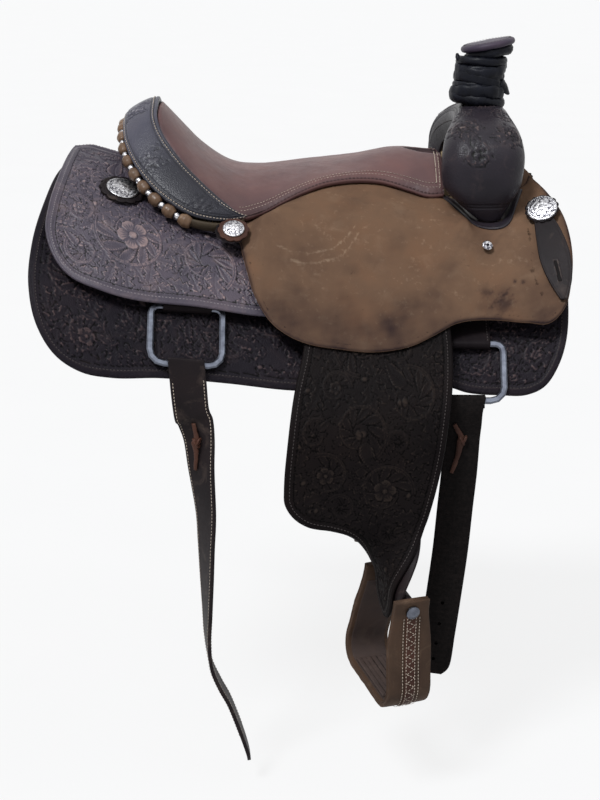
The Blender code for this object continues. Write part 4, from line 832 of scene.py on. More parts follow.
def mixed(tree, fac, a, b, mode="MIX"):
    made = tree.nodes.new("ShaderNodeMix")
    made.data_type = "RGBA"
    made.blend_type = mode
    for value, socket in ((fac, made.inputs[0]), (a, made.inputs[6]), (b, made.inputs[7])):
        if isinstance(value, (int, float)):
            socket.default_value = value
        elif isinstance(value, tuple):
            socket.default_value = (*value, 1)
        else:
            tree.links.new(value, socket)
    return made.outputs[2]


def math_node(tree, operation, a, b=0.0, clamp=False):
    made = tree.nodes.new("ShaderNodeMath")
    made.operation = operation
    made.use_clamp = clamp
    for value, socket in ((a, made.inputs[0]), (b, made.inputs[1])):
        if isinstance(value, (int, float)):
            socket.default_value = value
        else:
            tree.links.new(value, socket)
    return made.outputs[0]


def scaled_sum(tree, value, by, plus):
    made = math_node(tree, "MULTIPLY_ADD", value, by)
    tree.nodes[-1].inputs[2].default_value = plus
    return made


def about_zero(tree, noise, by):
    """The noise as a change to both sides of zero."""
    return math_node(tree, "MULTIPLY", math_node(tree, "SUBTRACT", noise, 0.5), by)


def noise_of(tree, scale, detail=3.0, rough=0.55, distortion=0.0):
    made = node(tree, "ShaderNodeTexNoise", Scale=scale, Detail=detail, Roughness=rough,
                Distortion=distortion)
    tree.links.new(coordinates(tree), made.inputs["Vector"])
    return made.outputs["Fac"]


def coordinates(tree):
    for n in tree.nodes:
        if n.type == "TEX_COORD":
            return n.outputs["Object"]
    return tree.nodes.new("ShaderNodeTexCoord").outputs["Object"]


def cells_of(tree, scale):
    made = node(tree, "ShaderNodeTexVoronoi", Scale=scale)
    tree.links.new(coordinates(tree), made.inputs["Vector"])
    return made.outputs["Distance"]


def attribute(tree, name):
    made = tree.nodes.new("ShaderNodeAttribute")
    made.attribute_name = name
    return made.outputs["Fac"]


def bump(tree, height, strength, distance, normal=None):
    made = node(tree, "ShaderNodeBump", Strength=strength, Distance=distance)
    tree.links.new(height, made.inputs["Height"])
    if normal is not None:
        tree.links.new(normal, made.inputs["Normal"])
    return made.outputs["Normal"]


def leather(name, deep, body, worn, rough=(0.62, 0.40), grain=900.0, mottle=0.35, wear=0.5,
            stamped=True, grain_depth=0.12 * MM, spec=0.22, stain_and_painted_shade=None, tones=(0.68, 1.30)):
    """Leather whose tooling darkens in the cuts and is polished where it stands up."""
    mat, tree, shader = new_material(name)
    carve = attribute(tree, "carve")
    broad = noise_of(tree, 14.0, 4.0, 0.6)
    fine = noise_of(tree, 160.0, 4.0, 0.6)
    level = scaled_sum(tree, carve, 0.55, 0.55)
    level = math_node(tree, "ADD", level, about_zero(tree, fine, mottle))
    color = ramp(tree, level, [(0.12, deep), (0.34, body), (0.66, body), (0.96, worn)])
    dim, lit = tones
    tone = ramp(tree, broad, [(0.30, (dim, dim, dim * 1.05)), (0.50, (1, 1, 1)),
                              (0.72, (lit, lit * 0.93, lit * 0.88))])
    color = mixed(tree, 1.0, color, tone, "MULTIPLY")
    patches = ramp(tree, noise_of(tree, 34.0, 5.0, 0.65, distortion=0.6),
                   [(0.55, (0, 0, 0)), (0.75, (1, 1, 1))])
    color = mixed(tree, math_node(tree, "MULTIPLY", patches, wear), color, worn)
    # The stain colour goes where the stain attribute says: real stains and marks, and painted shade on the
    # roll, in the seat's opening and low on the seat jockeys.
    if stain_and_painted_shade is not None:
        color = mixed(tree, attribute(tree, "stain_and_painted_shade"), color, stain_and_painted_shade)
    tree.links.new(color, shader.inputs["Base Color"])
    roughness = scaled_sum(tree, level, rough[1] - rough[0], rough[0])
    roughness = math_node(tree, "ADD", roughness, about_zero(tree, fine, 0.25), True)
    tree.links.new(roughness, shader.inputs["Roughness"])
    normal = bump(tree, cells_of(tree, grain), 0.45, grain_depth)
    normal = bump(tree, noise_of(tree, 420.0, 3.0, 0.7), 0.4, 0.25 * MM, normal)
    if stamped:
        dots = cells_of(tree, 620.0)
        low = ramp(tree, carve, [(0.0, (1, 1, 1)), (0.02, (0, 0, 0))])
        pits = math_node(tree, "MULTIPLY", dots, low)
        normal = bump(tree, pits, 0.5, 0.5 * MM, normal)
    tree.links.new(normal, shader.inputs["Normal"])
    shader.inputs["Specular IOR Level"].default_value = spec
    return mat


def plain_material(name, color, rough, metallic=0.0, second=None, scale=60.0, bump_scale=0.0,
                   bump_depth=0.1 * MM, contrast=0.2, spec=0.2):
    """A surface with soft tone changes and a fine bump."""
    mat, tree, shader = new_material(name)
    second = second or tuple(c * (1 - contrast) for c in color)
    fac = noise_of(tree, scale, 5.0, 0.6)
    tree.links.new(ramp(tree, fac, [(0.3, second), (0.7, color)]), shader.inputs["Base Color"])
    level = scaled_sum(tree, noise_of(tree, scale * 3, 4.0), 0.3, rough - 0.15)
    tree.links.new(level, shader.inputs["Roughness"])
    shader.inputs["Metallic"].default_value = metallic
    shader.inputs["Specular IOR Level"].default_value = 0.5 if metallic else spec
    if bump_scale:
        normal = bump(tree, noise_of(tree, bump_scale, 4.0, 0.6), 0.5, bump_depth)
        tree.links.new(normal, shader.inputs["Normal"])
    return mat


JOCKEY_DARK = leather("rear_jockey_leather", (0.0015, 0.001, 0.0015), (0.062, 0.051, 0.068),
                      (0.30, 0.215, 0.205), wear=0.26, rough=(0.50, 0.30), spec=0.24, mottle=0.26)
# The skirts' tooled leather is darker than the rear jockeys', partly as painted shade for the skirts'
# downward-facing faces.
SKIRT_DARK_AND_SHADED = leather("skirt_leather", (0.0010, 0.0007, 0.0010), (0.0105, 0.0084, 0.0118),
                     (0.080, 0.055, 0.054), wear=0.14, rough=(0.55, 0.36), spec=0.06, mottle=0.14)
# The fenders' tooled leather is darker still, partly as painted shade for the fenders hanging below the
# jockeys.
FENDER_DARK_AND_SHADED = leather("fender_leather", (0.0008, 0.0006, 0.0006), (0.0066, 0.0050, 0.0051),
                      (0.030, 0.022, 0.018), wear=0.10, rough=(0.6, 0.42), spec=0.04, mottle=0.14)
# The roll's stain colour is painted shade for its underside and its low front ends.
ROLL_DARK = leather("roll_leather", (0.0015, 0.0015, 0.0025), (0.060, 0.058, 0.078), (0.21, 0.195, 0.22),
                    wear=0.06, rough=(0.42, 0.28), spec=0.24, mottle=0.12, stain_and_painted_shade=(0.0060, 0.0060, 0.0100))
FORK_DARK = leather("fork_leather", (0.0010, 0.0008, 0.0010), (0.0185, 0.0150, 0.0200), (0.17, 0.118, 0.105),
                    wear=0.16, rough=(0.44, 0.28), spec=0.17, mottle=0.22)
STRAP_DARK = leather("strap_leather", (0.003, 0.002, 0.002), (0.0115, 0.0082, 0.0090), (0.125, 0.090, 0.074),
                     wear=0.36, stamped=False, spec=0.10)
RIG_DARK = leather("rigging_leather", (0.002, 0.0015, 0.002), (0.010, 0.0075, 0.0085), (0.040, 0.028, 0.026),
                   wear=0.2, stamped=False, spec=0.05)
# Its stain colour darkens the edge and patches, and is painted shade in the opening behind the fork.
SEAT_BROWN = leather("seat_leather", (0.008, 0.004, 0.0045), (0.122, 0.063, 0.060), (0.225, 0.116, 0.088),
                     wear=0.20, rough=(0.55, 0.36), stamped=False, grain=1400.0, grain_depth=0.05 * MM,
                     stain_and_painted_shade=(0.050, 0.028, 0.030), mottle=0.16, spec=0.22, tones=(0.80, 1.16))
# Its stain colour marks real stains and also paints shade low on the seat jockeys.
ROUGH_OUT = leather("roughout_leather", (0.035, 0.021, 0.013), (0.146, 0.086, 0.054), (0.240, 0.162, 0.108),
                    wear=0.26, rough=(0.95, 0.88), stamped=False, grain=1700.0, grain_depth=0.14 * MM,
                    mottle=0.9, spec=0.04, stain_and_painted_shade=(0.020, 0.013, 0.015), tones=(0.78, 1.12))
LACE_BROWN = leather("lace_leather", (0.01, 0.005, 0.004), (0.060, 0.027, 0.019), (0.13, 0.066, 0.042),
                     wear=0.3, stamped=False, spec=0.10)
SCALLOP = plain_material("seat_edge_leather", (0.088, 0.050, 0.050), 0.55, contrast=0.4, scale=220.0,
                         spec=0.12)
STRIP_BROWN = leather("bead_strip_leather", (0.01, 0.007, 0.004), (0.052, 0.038, 0.024), (0.16, 0.11, 0.07),
                      wear=0.3, stamped=False, spec=0.12)
WRAP_BROWN = leather("stirrup_leather_wrap", (0.014, 0.008, 0.006), (0.060, 0.036, 0.024),
                     (0.165, 0.106, 0.070), wear=0.46, stamped=False, rough=(0.7, 0.5), spec=0.10)
WRAP_INNER = leather("stirrup_inner_leather", (0.010, 0.007, 0.006), (0.050, 0.036, 0.032),
                     (0.15, 0.11, 0.09), wear=0.30, stamped=False, rough=(0.75, 0.55), spec=0.08)
THREAD = plain_material("thread", (0.50, 0.41, 0.33), 0.75, contrast=0.45, scale=220.0, bump_scale=900.0)
THREAD_GREY = plain_material("grey_thread", (0.26, 0.23, 0.24), 0.7, contrast=0.5, scale=220.0,
                             bump_scale=900.0)
THREAD_DARK = plain_material("dark_thread", (0.052, 0.043, 0.041), 0.7, contrast=0.5, scale=220.0,
                             bump_scale=900.0)
RUBBER = plain_material("wrap_rubber", (0.0028, 0.0031, 0.0052), 0.42, second=(0.0080, 0.0088, 0.0140),
                        scale=60.0, bump_scale=260.0, bump_depth=1.0 * MM, spec=0.12)
STEEL = plain_material("dee_steel", (0.17, 0.185, 0.225), 0.36, 1.0, second=(0.07, 0.075, 0.095), scale=90.0,
                       bump_scale=500.0)
IRON = plain_material("post_iron", (0.02, 0.02, 0.022), 0.6, 0.3, bump_scale=200.0)


def silver_material():
    """Bright silver, dark where it is cut."""
    mat, tree, shader = new_material("engraved_silver")
    worn = noise_of(tree, 330.0, 2.0, 0.6)
    level = math_node(tree, "ADD", attribute(tree, "carve"), about_zero(tree, worn, 2.4))
    color = ramp(tree, level, [(0.0, (0.60, 0.595, 0.605)), (0.16, (0.40, 0.395, 0.415)),
                               (0.40, (0.085, 0.082, 0.098)), (0.80, (0.014, 0.014, 0.020))])
    tree.links.new(color, shader.inputs["Base Color"])
    shader.inputs["Metallic"].default_value = 1.0
    shader.inputs["Roughness"].default_value = 0.36
    tree.links.new(bump(tree, noise_of(tree, 700.0, 3.0), 0.4, 0.2 * MM), shader.inputs["Normal"])
    return mat


SILVER = silver_material()
BEAD_BROWN = leather("bead_leather", (0.02, 0.010, 0.006), (0.120, 0.068, 0.038), (0.40, 0.265, 0.170),
                     wear=0.5, stamped=False, spec=0.30, rough=(0.45, 0.3), tones=(0.55, 1.35))
TREE_WOOD = plain_material("tree_rawhide", (0.33, 0.25, 0.15), 0.6, second=(0.20, 0.14, 0.08), scale=26.0,
                           bump_scale=120.0)
WOOL = plain_material("fleece_wool", (0.50, 0.43, 0.33), 0.98, second=(0.20, 0.16, 0.12), scale=120.0,
                      bump_scale=520.0, bump_depth=1.6 * MM)
WEBBING = plain_material("black_webbing", (0.011, 0.0085, 0.008), 0.7, second=(0.004, 0.0035, 0.0035),
                         scale=240.0, bump_scale=1400.0, bump_depth=0.3 * MM, spec=0.05)
HOLE = plain_material("hole_shadow", (0.0008, 0.0008, 0.0008), 0.9, contrast=0.5, spec=0.0)
CAP_LEATHER = leather("cap_leather", (0.010, 0.007, 0.011), (0.040, 0.030, 0.048), (0.11, 0.085, 0.11),
                      wear=0.3, stamped=False, rough=(0.55, 0.40), spec=0.2)

# ---------------------------------------------------------------- leather panels
scene = bpy.context.scene
FINE = 1.25 * MM


def layer(d, side):
    """Places a panel on the back, d over it."""
    return lambda x, s, h: back(x, s, (d(x, s) if callable(d) else d) + h, side)


def finer_where(test, step, every=5):
    """Keeps the whole grid where test holds and a sparse part of it elsewhere."""
    def keep(grid):
        row = np.round(grid[:, 1] / (step * 0.866)).astype(int)
        column = np.round(grid[:, 0] / step).astype(int)
        return test(grid) | ((row % every == 0) & (column % every == 0))
    return keep


def panel_tool(outline, margin, size, seed):
    """Tooling that covers a panel up to a margin."""
    loop = loop_through(outline, 4 * MM)
    tool = Tooling(loop.min(0) - 2 * MM, loop.max(0) + 2 * MM, seed=seed)
    tool.cover(loop, margin, size)
    return tool


# Skirts: tooled where they show below the jockeys
skirt_fine = 2.0 * MM
skirt_sheet = Sheet(SKIRT, skirt_fine, keep=finer_where(
    lambda g: (g[:, 1] > 0.225) | (g[:, 0] < -0.285) | (g[:, 0] > 0.29), skirt_fine))
skirt_tool = panel_tool(SKIRT, SKIRT_BORDER, 40 * MM, 11)
skirt_relief = bordered(skirt_tool, SKIRT_BORDER, ((3.2 * MM, 0.6), (10.4 * MM, 0.7)), 0.25)
fleece_sheet = Sheet([tuple(p) for p in inner_line(SKIRT, 3 * MM, step=6 * MM)], 4.5 * MM, corner=120.0,
                     coarse=16 * MM)


def wool_under(side):
    """Woolly under face of the fleece: h runs from the skirt's side down to the wool."""
    def place(x, s, h):
        low = np.where(s > 0.3, FLEECE * (0.35 - 0.35 * smooth((0.33 - s) / 0.03)), 0.0)
        part = h / FLEECE
        spots = back(x, s, FLEECE + (low - FLEECE) * np.clip(part, 0, 1), side)
        tuft = np.clip(part, 0, 1) * (1.6 * MM + 2.2 * MM * np.abs(ripple(spots, 17 * MM, 5, 4)))
        return back(x, s, FLEECE + (low - FLEECE) * np.clip(part, 0, 1) + tuft * 0.9 - 0.4 * MM, side)
    return place


for side, tag in SIDES:
    made = skin("skirt_leather_" + tag, skirt_sheet, layer(D_SKIRT, side), SKIRT_LEATHER, SKIRT_DARK_AND_SHADED,
                skirt_relief, deep=1.4 * MM)
    stand(made, "saddle", "tooled_leather", "skirt_" + tag)
    made = skin("skirt_wool_" + tag, fleece_sheet, wool_under(side), FLEECE, WOOL, round_off=4 * MM)
    stand(made, "saddle", "fleece", "skirt_fleece_" + tag)
    row = row_on(inner_line(SKIRT, 8.0 * MM), layer(D_SKIRT, side), SKIRT_LEATHER)
    stitches("skirt_stitching_" + tag, [row], "saddle", THREAD_DARK, "tooled_leather")

# Rear jockeys
rear_sheet = Sheet(REAR_JOCKEY, FINE)
rear_tool = panel_tool(REAR_JOCKEY, JOCKEY_BORDER, 47 * MM, 4)
rear_relief = bordered(rear_tool, JOCKEY_BORDER, ((2.8 * MM, 0.6), (9.4 * MM, 0.8)), 0.18)
for side, tag in SIDES:
    made = skin("rear_jockey_leather_" + tag, rear_sheet, layer(rear_jockey_d, side), JOCKEY_LEATHER,
                JOCKEY_DARK, rear_relief, deep=1.5 * MM)
    stand(made, "saddle", "tooled_leather", "rear_jockey_" + tag)
    row = row_on(inner_line(REAR_JOCKEY, 6.2 * MM), layer(rear_jockey_d, side), JOCKEY_LEATHER)
    stitches("rear_jockey_stitching_" + tag, [row], "saddle", THREAD_GREY, "tooled_leather")

# Seat jockeys: rough-out leather, scraped and stained, with painted shade towards the lower edge
jockey_outline = list(SEAT_JOCKEY_LOW) + [(x, s) for x, s, _ in reversed(JOCKEY_TOP[:-1])]
jockey_sheet = Sheet(jockey_outline, 2.2 * MM, coarse=8 * MM)


def jockey_place(side):
    return lambda x, s, h: back(x, s, jockey_high(x, s) - JOCKEY_LEATHER + h, side)


# The dark edge, the stain marks and the oily patch at the front are stains; the darkening towards the lower
# edge is painted shade.
def jockey_stains_and_painted_shade(points, edge):
    near_edge = np.exp(-edge / (3.2 * MM)) * 0.95
    marks = 0.0
    flat = np.column_stack([points, 0 * edge])
    ragged = 1 + 0.9 * ripple(flat, 9 * MM, 15, 3)
    for x, s, r, deep in ((0.237, 0.203, 8, 0.75), (0.262, 0.225, 15, 0.85), (0.149, 0.213, 10, 0.35),
                          (0.147, 0.170, 14, 0.25), (0.276, 0.198, 2.6, 0.9), (0.286, 0.201, 3.2, 0.9),
                          (0.311, 0.250, 6, 0.5), (0.250, 0.240, 12, 0.6), (0.060, 0.060, 22, 0.25),
                          (0.180, 0.235, 16, 0.35), (0.236, 0.112, 26, 0.35)):
        far = ((points[:, 0] - x) ** 2 + (points[:, 1] - s) ** 2) / (r * MM) ** 2
        marks = np.maximum(marks, deep * np.exp(-far * np.clip(ragged, 0.4, 2.5)))
    spread = ripple(flat, 60 * MM, 8, 4)
    low_front = 0.40 * smooth((points[:, 0] - 0.16) / 0.12) * smooth((points[:, 1] - 0.175) / 0.06)
    # Painted shade: behind the front, the leather darkens towards the lower edge, where less light falls.
    behind = smooth((0.225 - points[:, 0]) / 0.08)
    low_painted_shade = behind * (0.12 * smooth((points[:, 1] - 0.12) / 0.05)
                         + 0.50 * smooth((points[:, 1] - 0.185) / 0.07))
    return np.clip(np.maximum(np.maximum(near_edge, marks), low_front + low_painted_shade) * (0.9 + 0.4 * spread)
                   + 0.20 * np.clip(spread - 0.1, 0, 1), 0, 1)


def jockey_relief(points, edge):
    made = -0.45 * groove(edge, 5.5 * MM, 0.7 * MM) + 0.25 * ripple(np.column_stack([points, 0 * edge]),
                                                                    26 * MM, 3, 3)
    for xs, ss in (((-0.040, -0.015, 0.010, 0.044, 0.060, 0.072, 0.084),
                    (0.157, 0.163, 0.165, 0.155, 0.141, 0.126, 0.113)),
                    ((-0.020, 0.002, 0.023, 0.054, 0.066, 0.079, 0.096),
                     (0.172, 0.176, 0.174, 0.163, 0.148, 0.131, 0.122))):
        bow = np.interp(points[:, 0], xs, ss)
        fade = smooth((points[:, 0] - xs[0]) / 0.012) * smooth((xs[-1] - points[:, 0]) / 0.012)
        made = made + 0.50 * np.exp(-(((points[:, 1] - bow) / (1.5 * MM)) ** 2)) * fade
    lies = 0.299 + 0.012 * smooth((points[:, 1] - 0.180) / 0.06)
    lies = lies - 0.002 * smooth((0.16 - points[:, 1]) / 0.03)
    pressed = np.exp(-(((points[:, 0] - lies) / (2.6 * MM)) ** 2)) * smooth((points[:, 1] - 0.110) / 0.01)
    return made - 0.42 * pressed * smooth((0.240 - points[:, 1]) / 0.02)


for side, tag in SIDES:
    made = skin("seat_jockey_leather_" + tag, jockey_sheet, jockey_place(side), JOCKEY_LEATHER, ROUGH_OUT,
                jockey_relief, jockey_stains_and_painted_shade, deep=0.5 * MM)
    stand(made, "saddle", "roughout_leather", "seat_jockey_" + tag)

# Seat
seat_rows = [tuple(p) for p in RIM_PLAN] + [tuple(p) for p in EDGE_PLAN[1:]]
seat_outline = [(x, -y) for x, y in seat_rows] + [(x, y) for x, y in reversed(seat_rows) if y > 0]
seat_sheet = Sheet(seat_outline, 3.0 * MM, corner=60.0, coarse=10 * MM)


def seat_place(x, y, h):
    x, y = np.asarray(x, float), np.asarray(y, float)
    return np.stack(np.broadcast_arrays(x, y, seat_top(np.maximum(x, SEAT_BACK), y) - SEAT_THICK + h), -1)


def seat_relief(points, edge):
    flat = np.column_stack([points, 0 * edge])
    soft = 0.28 * ripple(flat, 70 * MM, 21, 2) + 0.12 * ripple(flat, 24 * MM, 22, 3)
    lined = -0.35 * groove(edge, 6.6 * MM, 1.4 * MM)
    front = points[:, 0] > -70 * MM
    lined = np.where(front, lined, 0.3 * lined)
    # The opening behind the fork is sunk, and its low carve value also paints it near black as painted shade.
    return soft * smooth((edge - 8 * MM) / (20 * MM)) + lined - 3.2 * hand_hole(points)


def hand_hole(points):
    """1 in the opening behind the fork, 0 outside it."""
    reach = np.hypot((points[:, 0] - 0.182) / 0.040, points[:, 1] / 0.026)
    return smooth((1.12 - reach) / 0.30)


# Darker along the edge, towards the sides of the rear dish and in soft patches; the opening behind the fork
# is painted shade.
def seat_darkening_and_painted_shade(points, edge):
    flat = np.column_stack([points, 0 * edge])
    soft = ripple(flat, 90 * MM, 31, 4)
    dip = np.exp(-((points[:, 0] + 0.10) / 0.07) ** 2) * np.clip(np.abs(points[:, 1]) / 0.12, 0, 1)
    worn = np.clip(0.55 * np.exp(-edge / (3.5 * MM)) + 0.35 * dip + 0.30 * soft, 0, 1)
    # Painted shade: the opening behind the fork takes the full stain colour.
    return np.maximum(worn, hand_hole(points))


seat = skin("seat_cover", seat_sheet, seat_place, SEAT_THICK, SEAT_BROWN, seat_relief, seat_darkening_and_painted_shade,
            round_off=5 * MM, deep=2.1 * MM)
stand(seat, "saddle", "seat_leather", "seat")
rows = []
for by, sunk in ((4.4 * MM, 0.8 * MM), (8.8 * MM, 0.0)):
    line = inner_line(seat_outline, by, 60.0, 3 * MM)
    line = line[line[:, 0] > -80 * MM]
    for sign in (-1, 1):
        half = line[line[:, 1] * sign > 20 * MM]
        half = half[np.argsort(half[:, 0])]
        rows.append(row_on(half, seat_place, SEAT_THICK - sunk))
stitches("seat_stitching", rows, "saddle", THREAD, "seat_leather")
rows = []
line = inner_line(seat_outline, 0.5 * MM, 60.0, 3 * MM)
line = line[(line[:, 0] > -75 * MM) & (np.abs(line[:, 1]) > 24 * MM)]
for sign in (-1, 1):
    half = line[line[:, 1] * sign > 0]
    turn = np.arctan2(half[:, 1] * sign - 40 * MM, half[:, 0] - 130 * MM)
    half = half[np.argsort(-turn)]
    rows.append((*row_on(half, seat_place, SEAT_THICK - 4.6 * MM), 5.2 * MM, 5.0 * MM, 3.4 * MM))
stitches("seat_scallops", rows, "saddle", SCALLOP, "seat_leather")


# ---------------------------------------------------------------- lofted leather
def grid_object(name, outer, inner, mat, carve, lift=0.8 * MM):
    """A shell between two grids of points; its outer face carries the tooling."""
    outer, inner = np.array(outer, float), np.array(inner, float)
    m, n = outer.shape[:2]
    k = inner.shape[1]
    outer = outer + outward(outer, inner.mean((0, 1))) * (carve * lift)[..., None]
    verts = np.concatenate([outer.reshape(-1, 3), inner.reshape(-1, 3)])
    base = m * n
    i, j = np.meshgrid(np.arange(m - 1), np.arange(n - 1), indexing="ij")
    i, j = i.ravel(), j.ravel()
    faces = np.stack([i * n + j, i * n + j + 1, (i + 1) * n + j + 1, (i + 1) * n + j], -1).tolist()
    i, j = np.meshgrid(np.arange(m - 1), np.arange(k - 1), indexing="ij")
    i, j = i.ravel(), j.ravel()
    faces += (base + np.stack([i * k + j, (i + 1) * k + j, (i + 1) * k + j + 1, i * k + j + 1], -1)).tolist()
    for r in range(m - 1):
        for a, b in ((0, 0), (n - 1, k - 1)):
            faces.append([r * n + a, (r + 1) * n + a, base + (r + 1) * k + b, base + r * k + b])
    for r in (0, m - 1):
        faces.append([r * n + c for c in range(n)] + [base + r * k + c for c in reversed(range(k))])
    shown = np.concatenate([np.asarray(carve).ravel(), np.zeros(m * k)])
    return tidy_normals(mesh_object(name, verts, faces, mat, {"carve": shown}))


def outward(grid, middle):
    """Normals of a grid that point away from its middle."""
    normal = unit(np.cross(np.gradient(grid, axis=0), np.gradient(grid, axis=1)))
    return -normal if ((grid - middle) * normal).sum() < 0 else normal


def as_many(rows, count):
    """Count rows picked evenly from the given ones."""
    return rows[np.linspace(0, len(rows) - 1, count).round().astype(int)]


def carved(tool, long, wide):
    """The tooling on a grid, the same on both sides of its middle."""
    return tool.at(np.stack([np.abs(long).ravel(), wide.ravel()], -1)).reshape(wide.shape)


def from_sides(wide):
    """Distance of each grid point to the nearer long side."""
    return np.minimum(wide - wide.min(1)[:, None], wide.max(1)[:, None] - wide)


def lengths(grid):
    """Each grid point's distance along its row's middle line and across from the middle column."""
    m, n = grid.shape[:2]
    mid = grid[:, n // 2]
    along = travelled(mid)
    step = np.linalg.norm(np.diff(grid, axis=1), axis=-1)
    across = np.concatenate([np.zeros((m, 1)), np.cumsum(step, axis=1)], 1)
    across -= across[:, n // 2][:, None]
    return np.repeat(along[:, None] - along[-1] / 2, n, 1), across


# Fork: rings across the arch
def fork_rings(shrink):
    rings = []
    both = [(*r, 1) for r in FORK] + [(*r, -1) for r in reversed(FORK[:-1])]
    for across, up, half, mid, slope, deep, side in both:
        angle = math.radians(slope)
        out = np.array([0, side * math.cos(angle), math.sin(angle)])
        top = np.array([mid, side * across, up]) * MM - out * shrink
        half, deep = half * MM - shrink, deep * MM - shrink
        rings.append([top + np.array([h * half, 0, 0]) - out * (t * deep) for h, t in FORK_SECTION])
    return np.array(rings)


fork_step = 1.7 * MM
fork_outer = dense_columns(smooth_rings(fork_rings(0), fork_step), 16)
fork_inner = dense_columns(smooth_rings(fork_rings(4 * MM), fork_step), 3)
fork_inner = as_many(fork_inner, len(fork_outer))
long, wide = lengths(fork_outer)
fork_tool = Tooling((-0.26, -0.13), (0.26, 0.13), seed=6)
fork_tool.h[:] = 0
for a, q, r, start, way, kind in (
        (0.120, -0.030, 24, 0.4, 1, 1), (0.166, -0.012, 18, 2.6, -1, 2), (0.075, 0.030, 26, 3.6, -1, 2),
        (0.128, 0.034, 22, 5.2, 1, 1), (0.060, -0.034, 22, 1.0, -1, 2), (0.028, 0.000, 18, 0.2, 1, 2)):
    fork_tool.scroll((a, q), r * MM, start, way, kind)
edge_near = from_sides(wide)
fork_carve = carved(fork_tool, long, wide)
fork_carve *= smooth((edge_near - 37 * MM) / (4 * MM))
for at in (31 * MM, 35 * MM):
    fork_carve -= 0.9 * groove(edge_near, at, 1.0 * MM)
foot_near = long.max() - np.abs(long)
for at in (24 * MM, 28 * MM):
    fork_carve -= 0.9 * groove(foot_near, at, 1.0 * MM)
fork = grid_object("fork_leather", fork_outer, fork_inner, FORK_DARK, np.clip(fork_carve, -1, 0.8),
                   lift=1.5 * MM)
stand(fork, "saddle", "black_leather", "fork_cover")


def grid_row(grid, normals, column):
    """Points and normals down one column (a fraction of the width) of a grid."""
    c = column * (grid.shape[1] - 1)
    i, f = int(c), c - int(c)
    j = min(i + 1, grid.shape[1] - 1)
    return grid[:, i] * (1 - f) + grid[:, j] * f, normals[:, i] * (1 - f) + normals[:, j] * f


fork_normals = outward(fork_outer, fork_inner.mean((0, 1)))
fork_rows = [grid_row(fork_outer, fork_normals, c) for c in (0.115, 0.885)]
stitches("fork_stitching", fork_rows, "saddle", THREAD_DARK, "black_leather")

# The fork cover's lower edge lies on the seat jockey round the fork's foot
ROUNDINGS = 14
NOTCH = [(p[0], p[1]) for p in JOCKEY_TOP if p[0] > 186 * MM][:-2]
notch_line = smooth_line([(*p, 0) for p in NOTCH], 2.5 * MM)[:, :2]
for _ in range(ROUNDINGS):
    notch_line[1:-1] = (notch_line[:-2] + notch_line[2:]) / 2
notch_out = unit(notch_line - np.array([0.247, 0.052]))
for side, tag in SIDES:
    rings = []
    for spot, out in zip(notch_line, notch_out):
        row = []
        for part, high in ((-15, -9.0), (-8, -3.5), (-3, 0.4), (1, 1.7), (4.0, 2.2), (6.4, 1.9), (7.2, 0.9),
                           (6.2, 0.35), (2.0, 0.35), (-3, -2.2), (-8, -6.0), (-15, -11.5)):
            x, s = spot + out * part * MM
            base_at = spot + out * max(part, 1.0) * MM
            row.append(back(x, s, float(jockey_high(*base_at)) + high * MM, side))
        rings.append(row)
    rings = dense_columns(np.array(rings), 2, closed=True)
    carve = np.tile(np.where(np.isin(np.arange(rings.shape[1]), (8, 11)), -0.8, 0.05), len(rings))
    stand(rings_object("fork_foot_" + tag, rings, FORK_DARK, attrs={"carve": carve}), "saddle",
          "black_leather")

# Cantle roll
STATIONS = [(-190, 0), (-190, 30), (-189, 60), (-178, 85), (-153, 110), (-128, 128), (-100, 142), (-80, 149)]
ROLL_EDGE = [(-238, 0, 147), (-237, 38, 141), (-232, 76, 121), (-218, 107, 97), (-195, 135, 72),
             (-167, 152, 51), (-136, 161, 35), (-98, 158, 27)]
ROLL_SECTION = [(0, -6), (0, 1), (0.22, 4.5), (0.5, 5), (0.8, 3), (0.96, -1), (1, -6), (0.9, -9), (0.5, -7),
                (0.15, -8)]


def both_sides(points):
    """The points from the off side over the middle to the near side."""
    return np.array([(p[0], -p[1], p[2]) for p in reversed(points[1:])] + list(points))


rim_line = [(x * MM, y * MM, float(rim_height(x * MM)) if i > 1 else (168 - 7 * i) * MM)
            for i, (x, y) in enumerate(STATIONS)]
rim_line = both_sides(rim_line)
edge_line = both_sides([tuple(v * MM for v in p) for p in ROLL_EDGE])
roll_rings = []
for i, (a, b) in enumerate(zip(rim_line, edge_line)):
    wide_of = np.linalg.norm(b - a) - 1.2 * MM
    out = unit(b - a)
    full = min(1.0, 0.45 + 0.3 * min(i, len(rim_line) - 1 - i))
    roll_rings.append([a + out * (1.2 * MM + t * wide_of) + np.array([0, 0, h * full * MM])
                       for t, h in ROLL_SECTION])
ROLL_TIP = np.array([-69.5, 149.5, 28.5]) * MM
for at, sign in ((0, -1), (len(roll_rings), 1)):
    last = np.array(roll_rings[0 if sign < 0 else -1])
    tip = ROLL_TIP * [1, sign, 1]
    roll_rings.insert(at, list(tip + (last - last.mean(0)) * 0.14))
roll = smooth_rings(roll_rings, 1.7 * MM)
roll = dense_columns(roll, 8, closed=True)
count = roll.shape[1]
top_from, top_to = count // 10, count * 6 // 10
face = roll[:, top_from: top_to + 1]
long, wide = lengths(face)
roll_tool = Tooling((-0.42, -0.045), (0.42, 0.045), seed=9)
roll_tool.h[:] = 0
for a in (0.045, 0.150, 0.245):
    for way, turn in ((1, 0.5), (-1, 2.6), (1, 3.7), (-1, -0.5), (1, 1.6), (-1, 4.7)):
        roll_tool.leaf((a, 0.001), turn, 25 * MM, 7.0 * MM, 0.35 * way, 3)
    roll_tool.acorn((a - 3 * MM, 0), 1.2, 10 * MM)
    roll_tool.acorn((a + 3 * MM, 0), 5.0, 9 * MM)
carve = carved(roll_tool, long, wide)
side_near = from_sides(wide)
